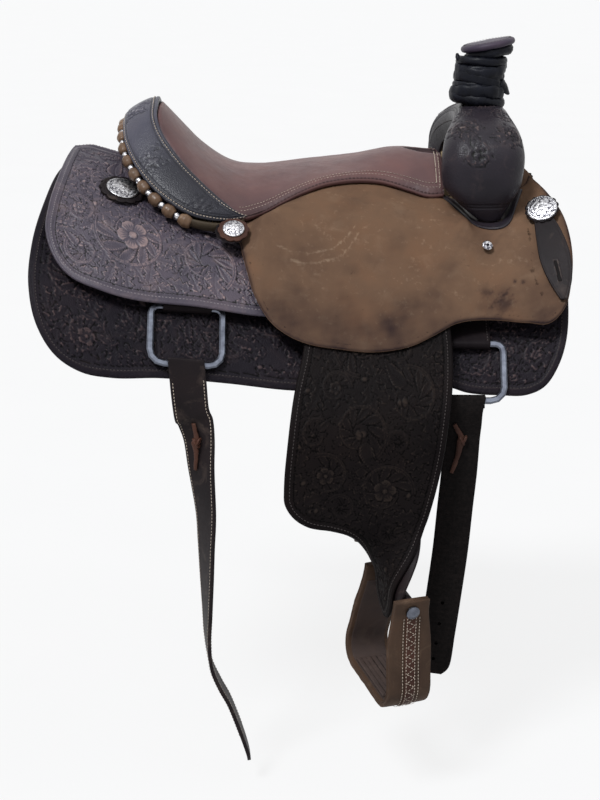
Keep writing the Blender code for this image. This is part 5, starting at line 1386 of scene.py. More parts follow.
carve *= smooth((side_near - 9 * MM) / (2 * MM))
for at in (4.5 * MM, 9 * MM):
    carve -= 0.9 * groove(side_near, at, 1.0 * MM)
full_carve = np.zeros(roll.shape[:2])
full_carve[:, top_from: top_to + 1] = np.clip(carve, -1, 0.8)
# Painted shade: all of the roll but its top face is darkened, and the top face darkens towards the low front
# ends.
roll_painted_shade = np.ones(roll.shape[:2])
roll_painted_shade[:, top_from: top_to + 1] = smooth((np.abs(long) - 0.085) / 0.11)
normal = outward(roll, roll.mean(1, keepdims=True))
roll = roll + normal * (full_carve * 1.1 * MM)[..., None]
made = rings_object("cantle_roll_leather", roll, ROLL_DARK,
                    attrs={"carve": full_carve.ravel(), "stain_and_painted_shade": 0.85 * roll_painted_shade.ravel()})
stand(made, "saddle", "tooled_leather", "cheyenne_roll")
face, face_normals = roll[:, top_from: top_to + 1], normal[:, top_from: top_to + 1]
rows = [grid_row(face, face_normals, c) for c in (0.13, 0.83)]
stitches("roll_stitching", rows, "saddle", THREAD, "tooled_leather")

# Beads bound under the roll, brown and silver in turn, then a plain strip to each front corner
bead_path = []
for i, (a, b) in list(enumerate(zip(rim_line, edge_line)))[1:-1]:
    bead = 6.6 * MM + 2.2 * MM * abs(i - len(rim_line) // 2) / (len(rim_line) // 2)
    bead_path.append(b + unit(b - a) * 1.5 * MM - np.array([0, 0, 7.4 * MM + bead]))
bead_line = smooth_line(bead_path, 12.5 * MM)


def lathe(profile, centre, axis, sides, radial=None):
    """Rings of (radius, height) turned about an axis; radial(angle, radius, height) adds to the height."""
    axis = unit(axis)
    a = unit(np.cross(axis, (0, 0, 1) if abs(axis[2]) < 0.9 else (1, 0, 0)))
    b = np.cross(axis, a)
    angles = np.arange(sides) * 2 * math.pi / sides
    rings = []
    for r, h in profile:
        more = 0 if radial is None else radial(angles, r, h)
        scale = 1.0
        if isinstance(more, tuple):
            more, scale = more
        spot = centre + np.outer(np.cos(angles) * r * scale, a) + np.outer(np.sin(angles) * r * scale, b)
        rings.append(spot + np.outer(np.zeros(sides) + h + more, axis))
    return np.array(rings)


brown, silver = [], []
STRIP_FROM = -0.143
for i in range(1, len(bead_line) - 1):
    here = bead_line[i]
    if here[0] > STRIP_FROM:
        continue
    run = unit(bead_line[i + 1] - bead_line[i - 1])
    size = 6.6 * MM + 2.2 * MM * abs(2 * i / (len(bead_line) - 1) - 1)
    if i % 2:
        profile = [(size * (0.60 + 0.44 * math.cos(1.45 * t) ** 0.8) * (1 + 0.03 * math.sin(7 * t + i)),
                    t * 8.4 * MM) for t in np.linspace(-1, 1, 17)]
        brown.append(lathe(profile, here, run, 24))
    else:
        r = 0.60 * size
        profile = [(r * (0.45 + 0.55 * math.sqrt(max(1 - t * t, 0))), t * 4.6 * MM)
                   for t in np.linspace(-1, 1, 13)]
        silver.append(lathe(profile, here, run, 18))
beads = join_rings("beads_brown", brown, BEAD_BROWN)
stand(beads, "saddle", "rawhide", "cantle_beads")
dull = np.full(sum(len(r) * r.shape[1] for r in silver), 0.16)
stand(join_rings("beads_silver", silver, SILVER, {"carve": dull}), "saddle", "silver")


def rod(name, path, radii, mat, sides=12, flat=1.0, up=None, wave=0.0, seed=1):
    """A round or flattened bar along a smooth path."""
    rows = [tuple(p) + (r,) for p, r in zip(path, radii)]
    line = smooth_line(rows, 2 * MM)
    points, size = line[:, :3], line[:, 3]
    run = unit(np.gradient(points, axis=0))
    normal = np.zeros_like(points)
    here = np.array(up if up is not None else np.cross(run[0], (0.3, 0.9, 0.2)), float)
    for i in range(len(points)):
        if up is not None:
            here = np.array(up, float)
        here = unit(here - run[i] * (here @ run[i]))
        normal[i] = here
    rings = tube(points, normal, np.cross(run, normal), size, sides, flat)
    if wave:
        rings = creased(rings, points[:, None], lambda p: ripple(p, 6 * MM, seed) * wave)
    return rings_object(name, rings, mat)


roll_tip = ROLL_TIP - [0, 0, 0.001]
for sign, tag in SIDES:
    flip = np.array([1, sign, 1])
    last = [p for p in bead_line if p[0] <= STRIP_FROM and p[1] * sign > 0]
    last.sort(key=lambda p: p[0])
    start = last[-1]
    path = [start * 0.35 + np.array([-0.1415, sign * 0.1590, 0.0215]) * 0.65,
            np.array([-0.120, sign * 0.1600, 0.0170]), np.array([-0.096, sign * 0.1575, 0.0155]),
            np.array([-0.080, sign * 0.1530, 0.0190]), roll_tip * flip - [0.003, 0, 0.004]]
    made = rod("bead_strip_" + tag, path, [6.6 * MM, 7.6 * MM, 6.8 * MM, 5.2 * MM, 2.2 * MM], STRIP_BROWN,
               flat=0.55, up=(0.1, sign * 0.75, -0.65))
    stand(made, "saddle", "rawhide")

# Cantle back
back_top = both_sides([(x * MM, y * MM, 0) for x, y in (
    (-184, 0), (-184, 26), (-183, 50), (-177, 74), (-160, 95), (-138, 112), (-116, 124))])


def back_z(x, across, d):
    """Height of the layer d over the back at a distance across."""
    radius, top, rise = section(x)
    p = across + radius * np.sin(top)
    return rise - radius * np.cos(top) + np.sqrt((radius + d) ** 2 - p * p)


outer, inner = [], []
for i, p in enumerate(back_top):
    a, b = back_top[max(i - 1, 0)], back_top[min(i + 1, len(back_top) - 1)]
    out = unit(np.array([-(b - a)[1], (b - a)[0], 0]))
    if out @ (p - np.array([-0.090, 0, 0])) < 0:
        out = -out
    reach = smooth((-0.108 - p[0]) / 0.070)
    fx, fy = p[0] + 26 * MM * reach, p[1] * (1 - 0.10 * reach)
    foot = np.array([fx, fy, float(back_z(fx, max(abs(fy), 12 * MM), D_BAR_TOP)) + 1.9 * MM])
    top = np.array([p[0], p[1], float(seat_top(p[0], p[1])) - SEAT_THICK - 4 * MM])
    outer.append([foot + out * 5.8 * MM + (top - foot) * t for t in np.linspace(0, 1, 5)])
    inner.append([foot + out * 1.8 * MM + (top - foot) * t for t in (0, 1)])
outer = dense_columns(smooth_rings(outer, 2.2 * MM), 8)
inner = smooth_rings(inner, 2.2 * MM)
inner = as_many(inner, len(outer))
long, wide = lengths(outer)
back_tool = Tooling((-0.24, -0.06), (0.24, 0.06), seed=12)
back_tool.h[:] = -0.55
for a, q, r, way in ((0.0, 0.002, 27, 1), (0.052, -0.002, 22, -1), (0.098, -0.004, 19, 1),
                     (0.136, -0.006, 14, -1)):
    back_tool.scroll((a, q), r * MM, a * 20, way, 2 if a else 0)
carve = carved(back_tool, long, wide)
made = grid_object("cantle_back_leather", outer, inner, JOCKEY_DARK, np.clip(carve, -1, 0.8))
stand(made, "saddle", "tooled_leather", "cantle_back")

# ---------------------------------------------------------------- fenders and stirrups
FENDER = scaled([
    (66, -14), (42, -28), (24, -56), (10, -100), (2, -140), (-7, -175), (-15, -228), (-20, -288),
    (-19, -306), (-8, -324), (10, -336), (40, -343), (62, -352), (76, -366), (83, -384), (84, -410),
    (87, -436), (98, -452), (112, -462), (122, -458), (131, -445), (136, -425), (140, -405),
    (147, -372), (153, -350), (161, -326), (174, -274), (184, -215), (191, -160), (190, -110),
    (178, -66), (162, -34), (140, -16), (102, -10),
])
fender_sheet = Sheet(FENDER, FINE + 0.3 * MM)
fender_tool = panel_tool(FENDER, 12 * MM, 34 * MM, 23)
fender_relief = bordered(fender_tool, 11 * MM, ((3.2 * MM, 0.5), (8.8 * MM, 0.5)))
BOLT_RADIUS = 5 * MM
LEATHER_X = (79 * MM, 153 * MM)
LEATHER_MIDDLE = sum(LEATHER_X) / 2
LEATHER_Z = [z * MM for z in (-14, -60, -120, -165, -190, -218, -245, -300, -338, -356, -373, -390, -407)]
EYE_Z, EYE_DROP, EYE_RADIUS = -421 * MM, 8 * MM, BOLT_RADIUS + 3.4 * MM
ARM = scaled([(-46, 15), (-46.5, -8), (-52, -44), (-60, -80), (-66, -104), (-65, -119), (-58, -131)])
TREAD_DROP = 137 * MM
ARM.append((-44 * MM, -TREAD_DROP))
BEND = ARM + [(0.0, -TREAD_DROP)] + [(-a, k) for a, k in reversed(ARM)]
WALL_SECTION = [(-1, -0.45), (-0.88, -1), (0.88, -1), (1, -0.45), (1, 0.45), (0.88, 1), (-0.88, 1),
                (-1, 0.45)]
STIRRUP_DEPTH, STIRRUP_WALL = 56 * MM, 8 * MM


def edge_stitches(line, inset, start=0.0, end=1.0, faces=(1,)):
    """Stitch rows along both edges of a strap, on the given faces."""
    n = len(line)
    rows = line[int(start * n): max(int(end * n), int(start * n) + 2)]
    across, normal = unit(rows[:, 3:6]), unit(rows[:, 6:9])
    normal = unit(normal - across * (normal * across).sum(1, keepdims=True))
    made = []
    for way in (-1, 1):
        edge = rows[:, :3] + across * (way * (rows[:, 9] - inset))[:, None]
        made += [(edge + normal * face * (rows[:, 10] / 2)[:, None], normal * face) for face in faces]
    return made


for side, tag in SIDES:
    # Fender
    made = skin("fender_leather_" + tag, fender_sheet, lambda x, z, h: hang(x, z, H_FENDER + h, side),
                FENDER_LEATHER, FENDER_DARK_AND_SHADED, fender_relief)
    stand(made, "leathers_" + tag, "tooled_leather", "fender_" + tag)
    row = row_on(inner_line(FENDER, 6.0 * MM), lambda x, z, h: hang(x, z, H_FENDER + h, side), FENDER_LEATHER)
    stitches("fender_stitching_" + tag, [row], "leathers_" + tag, THREAD_DARK, "tooled_leather")

    # Stirrup leather, with an eye round the bolt at its lower end
    stations = []
    for z in LEATHER_Z + [EYE_Z]:
        left = hang(LEATHER_X[0], z, STIRRUP_LEATHER / 2, side)
        right = hang(LEATHER_X[1], z, STIRRUP_LEATHER / 2, side)
        inner, outer = hang(LEATHER_MIDDLE, z, 0, side), hang(LEATHER_MIDDLE, z, STIRRUP_LEATHER, side)
        stations.append([(left + right) / 2, unit(right - left), unit(outer - inner),
                         np.linalg.norm(right - left) / 2, STIRRUP_LEATHER])
    end, across, normal, half, thick = stations[-1]
    down = end - stations[-2][0]
    down = unit(down - across * (down @ across))
    normal = unit(normal - across * (normal @ across) - down * (normal @ down))
    centre = end + down * EYE_DROP - normal * EYE_RADIUS
    for k in range(11):
        turn = math.radians(29 * k)
        out = normal * math.cos(turn) + down * math.sin(turn)
        stations.append([centre + out * EYE_RADIUS, across, out, half, thick])
    made, line = strap("stirrup_leather_strap_" + tag, stations, STRAP_DARK)
    stand(made, "leathers_" + tag, "black_leather", "stirrup_leather_" + tag)
    rows = edge_stitches(line, 5 * MM, 0.0, 0.8)
    stitches("stirrup_leather_stitching_" + tag, rows, "leathers_" + tag, THREAD_DARK, "black_leather")

    # Stirrup: leather sewn round a bent frame
    up = np.array([0, 0, 1.0])
    up = unit(up - across * (up @ across))
    depth = np.cross(across, up)
    rings, spine = [], []
    for i, (a, k) in enumerate(BEND):
        before, after = BEND[max(i - 1, 0)], BEND[min(i + 1, len(BEND) - 1)]
        run = unit(np.array([after[0] - before[0], after[1] - before[1]]))
        way = across * (-run[1]) + up * run[0]
        mid = centre + across * a + up * k
        wide = STIRRUP_DEPTH / 2 * (0.80 + 0.20 * smooth((8 * MM - k) / (60 * MM)))
        rings.append([mid + depth * (wide * w) + way * (STIRRUP_WALL / 2 * h) for w, h in WALL_SECTION])
        spine.append((mid, depth, way, wide))
    frame_rings = dense_columns(smooth_rings(rings, 2.5 * MM), 5, closed=True)
    frame_rings = creased(frame_rings, frame_rings.mean(1, keepdims=True),
                          lambda p: ripple(p, 14 * MM, 41) * 0.35 * MM)
    made = rings_object("stirrup_wrap_" + tag, frame_rings, WRAP_BROWN)
    stand(made, "stirrup_" + tag, "rawhide", "stirrup_" + tag)
    # Laced strip outside, lining inside, cover on the tread
    outer = [[m - w * (STIRRUP_WALL / 2 + 0.5 * MM), d, -w, 7.5 * MM, 1.6 * MM] for m, d, w, _ in spine[1:-1]]
    made, line = strap("stirrup_strip_" + tag, outer, LACE_BROWN, columns=5)
    stand(made, "stirrup_" + tag, "black_leather")
    rows = edge_stitches(line, -3.5 * MM) + edge_stitches(line, 1.5 * MM)
    zig = line[::2].copy()
    zig_points = [r[:3] + unit(r[3:6]) * (5.0 * MM * (-1) ** k) + unit(r[6:9]) * 1.0 * MM
                  for k, r in enumerate(zig)]
    zig_normals = [unit(r[6:9]) for r in zig]
    rows.append((zig_points, zig_normals))
    stitches("stirrup_stitching_" + tag, rows, "stirrup_" + tag, THREAD, "rawhide")
    inner_band = [[m + w * (STIRRUP_WALL / 2 + 0.2 * MM), d, w, wd * 0.86, 1.2 * MM]
                  for m, d, w, wd in spine[1:-1]]
    made, line = strap("stirrup_lining_" + tag, inner_band, WRAP_INNER, columns=9)
    stand(made, "stirrup_" + tag, "black_leather")
    tread_mid = centre + up * (STIRRUP_WALL / 2 + LAYER_GAP - TREAD_DROP)
    stations = [[tread_mid + across * (a * MM) + up * (2.1 * MM - (0.8 * MM if abs(a) > 41 else 0)), depth,
                 up, 23.5 * MM, (4.2 if abs(a) < 42 else 2.6) * MM]
                 for a in (-43, -41, -30, -15, 0, 15, 30, 41, 43)]
    made, line = strap("stirrup_tread_cover_" + tag, stations, WRAP_INNER, columns=25,
                       relief=lambda at, w, half: -0.9 * np.abs(np.sin(w / (2.2 * MM))) ** 8)
    stand(made, "stirrup_" + tag, "rubber", "stirrup_tread_" + tag)

# ---------------------------------------------------------------- dees and straps
DEE_BAR, DEE_THICK, DEE_RADIUS = 8.5 * MM, 5.5 * MM, 4.42 * MM
DEE_LOOP = DEE_RADIUS + 0.5 * MM + PLY / 2
BILLET_WIDTH = 46 * MM
REAR_DEE = {"x": -144 * MM, "s": 279 * MM, "half": 50 * MM, "height": 86 * MM}
FRONT_DEE = {"x": 212 * MM, "s": 292 * MM, "half": 52 * MM, "height": 84 * MM}


def frame_on(x, s, d, side):
    """Point, ways ahead and down, and normal of a spot on the back."""
    step = 2 * MM
    point = back(x, s, d, side)
    down = unit(back(x, s + step, d, side) - back(x, s - step, d, side))
    ahead = back(x + step, s, d, side) - back(x - step, s, d, side)
    ahead = unit(ahead - down * (ahead @ down))
    out = np.cross(ahead, down) if side < 0 else np.cross(down, ahead)
    return point, ahead, down, -out if out[2] < 0 else out


def dee_frame(dee, side):
    """Middle of a dee's upper bar, with its ways ahead, down and out."""
    point, ahead, down, out = frame_on(dee["x"], dee["s"], D_RIG, side)

    def rise(u, v):
        return out @ (back(dee["x"] + u, dee["s"] + v, D_RIG, side) - point)

    half, tall = dee["half"], dee["height"] / 2
    steps = (-1, -0.5, 0, 0.5, 1)
    flat = max(rise(u * half, v * tall) for u in steps for v in steps) + DEE_THICK / 2 + 0.5 * MM
    loops = max(rise(u * BILLET_WIDTH / 2, v * (tall - DEE_BAR / 2)) for u in steps for v in (-1, 1))
    loops += DEE_LOOP + PLY / 2 + 0.5 * MM
    return point + out * max(flat, loops) - down * (tall - DEE_BAR / 2), ahead, down, out


def bar_loop(way):
    """Half a turn of leather round a dee's bar, as (down, out) pairs."""
    return [(way * DEE_LOOP * math.sin(math.radians(a)), -DEE_LOOP * math.cos(math.radians(a)))
            for a in (0, 30, 60, 90, 120, 150, 180)]


def with_normals(points, down, out):
    """Each point of a line with its normal in the plane of down and out."""
    made = []
    for i, here in enumerate(points):
        run = points[min(i + 1, len(points) - 1)] - points[max(i - 1, 0)]
        run = unit(np.array([run @ down, run @ out]))
        made.append((here, down * -run[1] + out * run[0]))
    return made


def lying(x, s, d, side, half, thick):
    """A strap station that lies on the back without cutting into it."""
    here, ahead, down, out = frame_on(x, s, d, side)
    rise = max(out @ (back(x + u * half, s, d, side) - here) for u in (-1, -0.5, 0.5, 1))
    return [here + out * (max(rise, 0.0) + thick / 2 + 0.5 * MM), ahead, out, half, thick]


RIG_HALF = 31 * MM
for dee, kind in ((REAR_DEE, "rear"), (FRONT_DEE, "front")):
    for side, tag in SIDES:
        top, ahead, down, out = dee_frame(dee, side)
        bar_s = dee["s"] - (dee["height"] - DEE_BAR) / 2
        under = [lying(dee["x"], bar_s - k * MM, D_RIG, side, RIG_HALF, PLY) for k in (72, 52, 34, 20)]
        over = [lying(dee["x"], bar_s - k * MM, D_RIG + PLY + 1.2 * MM, side, RIG_HALF, PLY)
                for k in (22, 38)]
        loop = [top + down * p + out * q for p, q in bar_loop(1)]
        loop = [[p, ahead, n, RIG_HALF, PLY] for p, n in with_normals(loop, down, out)]
        stations = under + loop + [[c, a, -n, h, t] for c, a, n, h, t in over]
        made, line = strap(f"rig_{kind}_strap_{tag}", stations, RIG_DARK)
        stand(made, "saddle", "black_leather", f"rig_{kind}_{tag}")
        rows = edge_stitches(line, 3.5 * MM, 0.70, 1.0, (-1,))
        stitches(f"rig_{kind}_stitching_{tag}", rows, "saddle", THREAD_DARK, "black_leather")


def strap_stations(dee, side, line, twist, shift):
    """Stations of a strap from its loop on a dee down its hanging line."""
    top, ahead, down, out = dee_frame(dee, side)
    bar = top + down * (dee["height"] - DEE_BAR)
    points = [bar + down * p + out * q for p, q in [(8 * MM, -DEE_LOOP)] + bar_loop(-1)]
    stations = [[p, ahead, n, BILLET_WIDTH / 2, PLY] for p, n in with_normals(points, down, out)]
    outward = np.array([0.0, side, 0.0])
    for i, station in enumerate(line):
        x, z, half = (value * MM for value in station)
        a, b = line[max(i - 1, 0)], line[min(i + 1, len(line) - 1)]
        run = unit(np.array([b[0] - a[0], 0, b[1] - a[1]]))
        flat = np.cross(outward, run)
        flat = -flat if flat[0] < 0 else flat
        turn = math.radians(twist[i])
        across = flat * math.cos(turn) + outward * math.sin(turn)
        normal = outward * math.cos(turn) - flat * math.sin(turn)
        y = bar[1] + side * (shift + (5 * MM - shift) * max(0.0, 1 - i / 2))
        stations.append([np.array([x, y, z]), across, normal, half, BILLET])
    return stations


REAR_LINE = [
    (-137, -198, 23), (-132, -214, 23), (-128, -240, 22), (-126, -278, 21.5), (-121, -337, 21),
    (-121, -380, 21), (-121, -423, 21), (-121, -472, 21), (-121, -510, 21), (-117, -545, 20.5),
    (-106, -573, 20.5), (-93, -599, 20), (-78, -641, 20), (-70, -668, 15), (-68, -680, 8),
]
REAR_TWIST = [0, 8, 25, 38, 52, 60, 66, 74, 80, 84, 86, 86, 86, 86, 86]
OFF_LINE = [
    (209, -202, 23), (208, -220, 23), (206.5, -240, 23), (204, -285, 23), (200, -330, 23),
    (195, -390, 23), (188, -450, 23), (181, -505, 23), (175, -548, 23), (173, -562, 14),
]
LATIGO_LINE = OFF_LINE[:5] + [(198, -345, 12)]


def knotted(name, stations, first, offsets, body, cad):
    """A lace that comes down a strap's outer face, knots and hangs on."""
    def at(i, offset, lift):
        centre, across, normal = stations[first + i][:3]
        return centre + across * offset * MM + normal * (BILLET / 2 + lift * MM)
    a, b, c = offsets
    path = [at(1, a[0], 1.9), (at(1, a[0], 2.2) + at(2, b[0], 2.2)) / 2, at(2, b[0], 3.2),
            at(2, b[0] - 3, 5.0), (at(2, b[0], 3.4) * 0.6 + at(3, c[0], 3.4) * 0.4), at(3, c[0], 2.4)]
    up = stations[first + 2][2]
    made = rod(name, path, [2.8 * MM, 3.2 * MM, 4.4 * MM, 4.6 * MM, 3.4 * MM, 2.4 * MM], LACE_BROWN, flat=0.5,
               up=up, wave=0.5 * MM)
    stand(made, body, "seat_leather", cad)
    centre, across, normal = stations[first + 2][:3]
    down = unit(stations[first + 3][0] - stations[first + 1][0])
    mid = centre + across * b[0] * MM + normal * (BILLET / 2 + 3.2 * MM)
    for k, tilt in enumerate((0.5, -0.6)):
        way = unit(across + down * tilt)
        side_way = unit(np.cross(normal, way))
        loop = [mid + side_way * (math.cos(t) * 5.6 * MM) + normal * (math.sin(t) * 3.2 * MM)
                + way * (1.6 * MM * (-1) ** k) for t in np.linspace(0, 2 * math.pi * 0.97, 16)]
        made = rod(f"{name}_knot_{k + 1}", loop, [2.3 * MM] * 16, LACE_BROWN, flat=0.7, wave=0.4 * MM,
                   seed=k + 3)
        stand(made, body, "seat_leather")


stations = strap_stations(REAR_DEE, -1, REAR_LINE, REAR_TWIST, -4.2 * MM)
first = len(stations) - len(REAR_LINE)
made, line = strap("rear_billet_strap_off", stations, STRAP_DARK)
stand(made, "rear_billet_off", "black_leather", "rear_billet_off")
rows = edge_stitches(line, 3.6 * MM, 0.10, 0.93, (-1, 1))
stitches("rear_billet_stitching_off", rows, "rear_billet_off", THREAD, "black_leather")
knotted("rear_billet_lace_cord", stations, first, ((-2, 3), (0, 8), (-6, 4)), "rear_billet_off",
        "rear_billet_lace")


def ribs(at, w, half):
    """The weave of the webbing and its plain edges."""
    edge = half - np.abs(w)
    return 0.5 * np.cos(at / (0.42 * MM)) * (edge > 2.5 * MM) + 0.4 * (edge < 2.0 * MM)


for name, side, row, mat, slot in (("off_billet", -1, OFF_LINE, WEBBING, "webbing"),
                                   ("latigo", 1, LATIGO_LINE, STRAP_DARK, "black_leather")):
    stations = strap_stations(FRONT_DEE, side, row, [0] * len(row), 0.1 * MM if side < 0 else -1.3 * MM)
    first = len(stations) - len(row)
    made, line = strap(name + "_strap", stations, mat, step=1.1 * MM if side < 0 else 3 * MM, columns=15,
                       relief=ribs if side < 0 else None)
    stand(made, name if side > 0 else "billet_off", slot, name)
    if side < 0:
        holes = []
        for z in (-0.463, -0.492, -0.520, -0.541):
            k = int(np.argmin(np.abs(line[:, 2] - z)))
            centre, normal = line[k, :3], unit(line[k, 6:9])
            normal = normal if normal[1] < 0 else -normal
            holes.append(lathe([(0.1 * MM, 0.25 * MM), (2.0 * MM, 0.25 * MM), (2.3 * MM, 0.0)],
                               centre + normal * BILLET / 2, normal, 18))
        stand(join_rings("off_billet_holes", holes, HOLE), "billet_off", "webbing")
    knotted(name + "_lace_cord", stations, first, ((-12, 3), (1, 8), (-10, 4)),
            name if side > 0 else "billet_off", name + "_lace")
    if side > 0:
        rows = edge_stitches(line, 3.6 * MM, 0.25, 0.96, (-1, 1))
        stitches("latigo_stitching", rows, "latigo", THREAD_DARK, "black_leather")

top, ahead, down, out = dee_frame(REAR_DEE, 1)
bar = top + down * (REAR_DEE["height"] - DEE_BAR)
folded = [bar + down * p + out * q for p, q in [(8 * MM, -DEE_LOOP)] + bar_loop(-1)]
FOLD, FOLD_LOW, FOLD_HIGH = 7 * MM, -292 * MM, -206 * MM
hang_at = np.array([folded[-1][0], bar[1] + 5.4 * MM, folded[-1][2] - 14 * MM])
folded += [hang_at, np.array([hang_at[0], hang_at[1], FOLD_LOW + 20 * MM])]
for k, (z, way) in enumerate(((FOLD_LOW, -1), (FOLD_HIGH, 1))):
    for turn in (20, 60, 90, 120, 160):
        angle = math.radians(turn)
        inward = FOLD * k + FOLD / 2 * (1 - math.cos(angle))
        folded.append(np.array([hang_at[0], hang_at[1] - inward, z + way * FOLD / 2 * math.sin(angle)]))
folded.append(np.array([hang_at[0], hang_at[1] - 2 * FOLD, FOLD_LOW + 14 * MM]))
stations = [[p, ahead, n, BILLET_WIDTH / 2, PLY]
            for p, n in with_normals(folded, np.array([0, 0, -1.0]), np.array([0, 1.0, 0]))]
made, line = strap("rear_billet_strap_near", stations, STRAP_DARK)
stand(made, "rear_billet_near", "black_leather", "rear_billet_near")
rows = edge_stitches(line, 3.6 * MM, 0.20, 0.98, (-1, 1))
stitches("rear_billet_stitching_near", rows, "rear_billet_near", THREAD, "black_leather")

# ---------------------------------------------------------------- horn
HORN_BASE, HORN_TOP = np.array([239, 0, 162]) * MM, np.array([246, 0, 227]) * MM
CAP_MIDDLE = np.array([254, 0, 233.5]) * MM
WRAP_TURNS, WRAP_HALF, CAP_TILT = 5, 5.8 * MM, math.radians(12)
horn_axis = unit(HORN_TOP - HORN_BASE)
horn_long = float(np.linalg.norm(HORN_TOP - HORN_BASE))
POST = [(0.0, 26), (0.18, 24), (0.45, 21.5), (0.72, 22), (0.92, 24)]
post_radius = curve_of([(t * horn_long, r * MM) for t, r in POST])
a_way = np.array(Vector(horn_axis).orthogonal().normalized())
b_way = np.cross(horn_axis, a_way)
# The wrap: five turns of rubber, squared and creased, one unbroken tube
turns = np.linspace(0, WRAP_TURNS, WRAP_TURNS * 64 + 1)
height = WRAP_HALF + (horn_long - 2 * WRAP_HALF) * turns / WRAP_TURNS
swell = 1.0
for deep, at, run in ((0.16, 1.6, 0.45), (0.20, 2.9, 0.4), (0.14, 4.1, 0.4)):
    swell = swell + deep * np.exp(-((turns - at) / run) ** 2)
around = post_radius(height) + 6.2 * MM
around = around + 1.5 * MM * (swell - 1) / 0.2
way_out = a_way * np.cos(turns * 2 * math.pi)[:, None] + b_way * np.sin(turns * 2 * math.pi)[:, None]
spot = HORN_BASE + horn_axis * height[:, None] + way_out * around[:, None]
out = unit(spot - HORN_BASE - horn_axis * height[:, None])
run = unit(np.gradient(spot, axis=0))
sides = 22
angles = np.arange(sides) * 2 * math.pi / sides
axial = np.cross(run, out)
squared = np.sign(np.sin(angles)) * np.abs(np.sin(angles)) ** 0.8 * 5.6 * MM
rings = (spot[:, None] + out[:, None] * (np.cos(angles) * 4.9 * MM)[None, :, None]
         + axial[:, None] * squared[None, :, None] * (0.92 + 0.08 * swell)[:, None, None])
rings = creased(rings, spot[:, None], lambda p: 0.55 * MM * ripple(p, 9 * MM, 61, 4)
                + 0.5 * MM * ripple(p * [1, 1, 0.35], 5 * MM, 62, 2))
made = rings_object("horn_rubber", rings, RUBBER)
stand(made, "saddle", "rubber", "horn_wrap")
# Cap
cap_axis = unit(np.array([-math.sin(CAP_TILT) * 0.9, 0, math.cos(CAP_TILT)]))
profile = [(20, 0.4), (30, 0.2), (33.6, 0), (35.6, 0.9), (36.6, 2.6), (36.9, 4.4), (36.4, 6.3), (35.0, 7.9),
           (33.0, 8.7), (31.5, 8.4), (29.5, 8.3), (28.6, 8.7), (24, 9.3), (16, 9.6), (8, 9.7), (0.5, 9.7)]
profile = dense_rows([(r * MM, h * MM) for r, h in profile], 4)
cap = lathe(profile, CAP_MIDDLE, cap_axis, 96)
flat = cap.reshape(-1, 3)
flat = flat + cap_axis * (0.35 * MM * ripple(flat, 22 * MM, 71, 3))[:, None]
made = rings_object("horn_cap_leather", flat.reshape(cap.shape), CAP_LEATHER)
stand(made, "saddle", "black_leather", "horn_cap")
ring_points = lathe([(32.2 * MM, 8.75 * MM)], CAP_MIDDLE, cap_axis, 120)[0]
ring_points = np.concatenate([ring_points, ring_points[:1]])
stitches("horn_cap_stitching", [(ring_points, np.repeat(cap_axis[None], 121, 0))], "saddle", THREAD_DARK,
         "black_leather")
front_way = unit(np.array([1.0, 0, 0]) - horn_axis * horn_axis[0])
cap_front = unit(np.array([1.0, 0, 0]) - cap_axis * cap_axis[0])
off_way = np.array([0, -1.0, 0])


def round_horn(turn, h, r, lean=0.0):
    """A point beside the horn: turned from the front towards the off side."""
    way = front_way * math.cos(turn) + off_way * math.sin(turn)
    return HORN_BASE + horn_axis * (h + lean * math.cos(turn)) * MM + way * r * MM


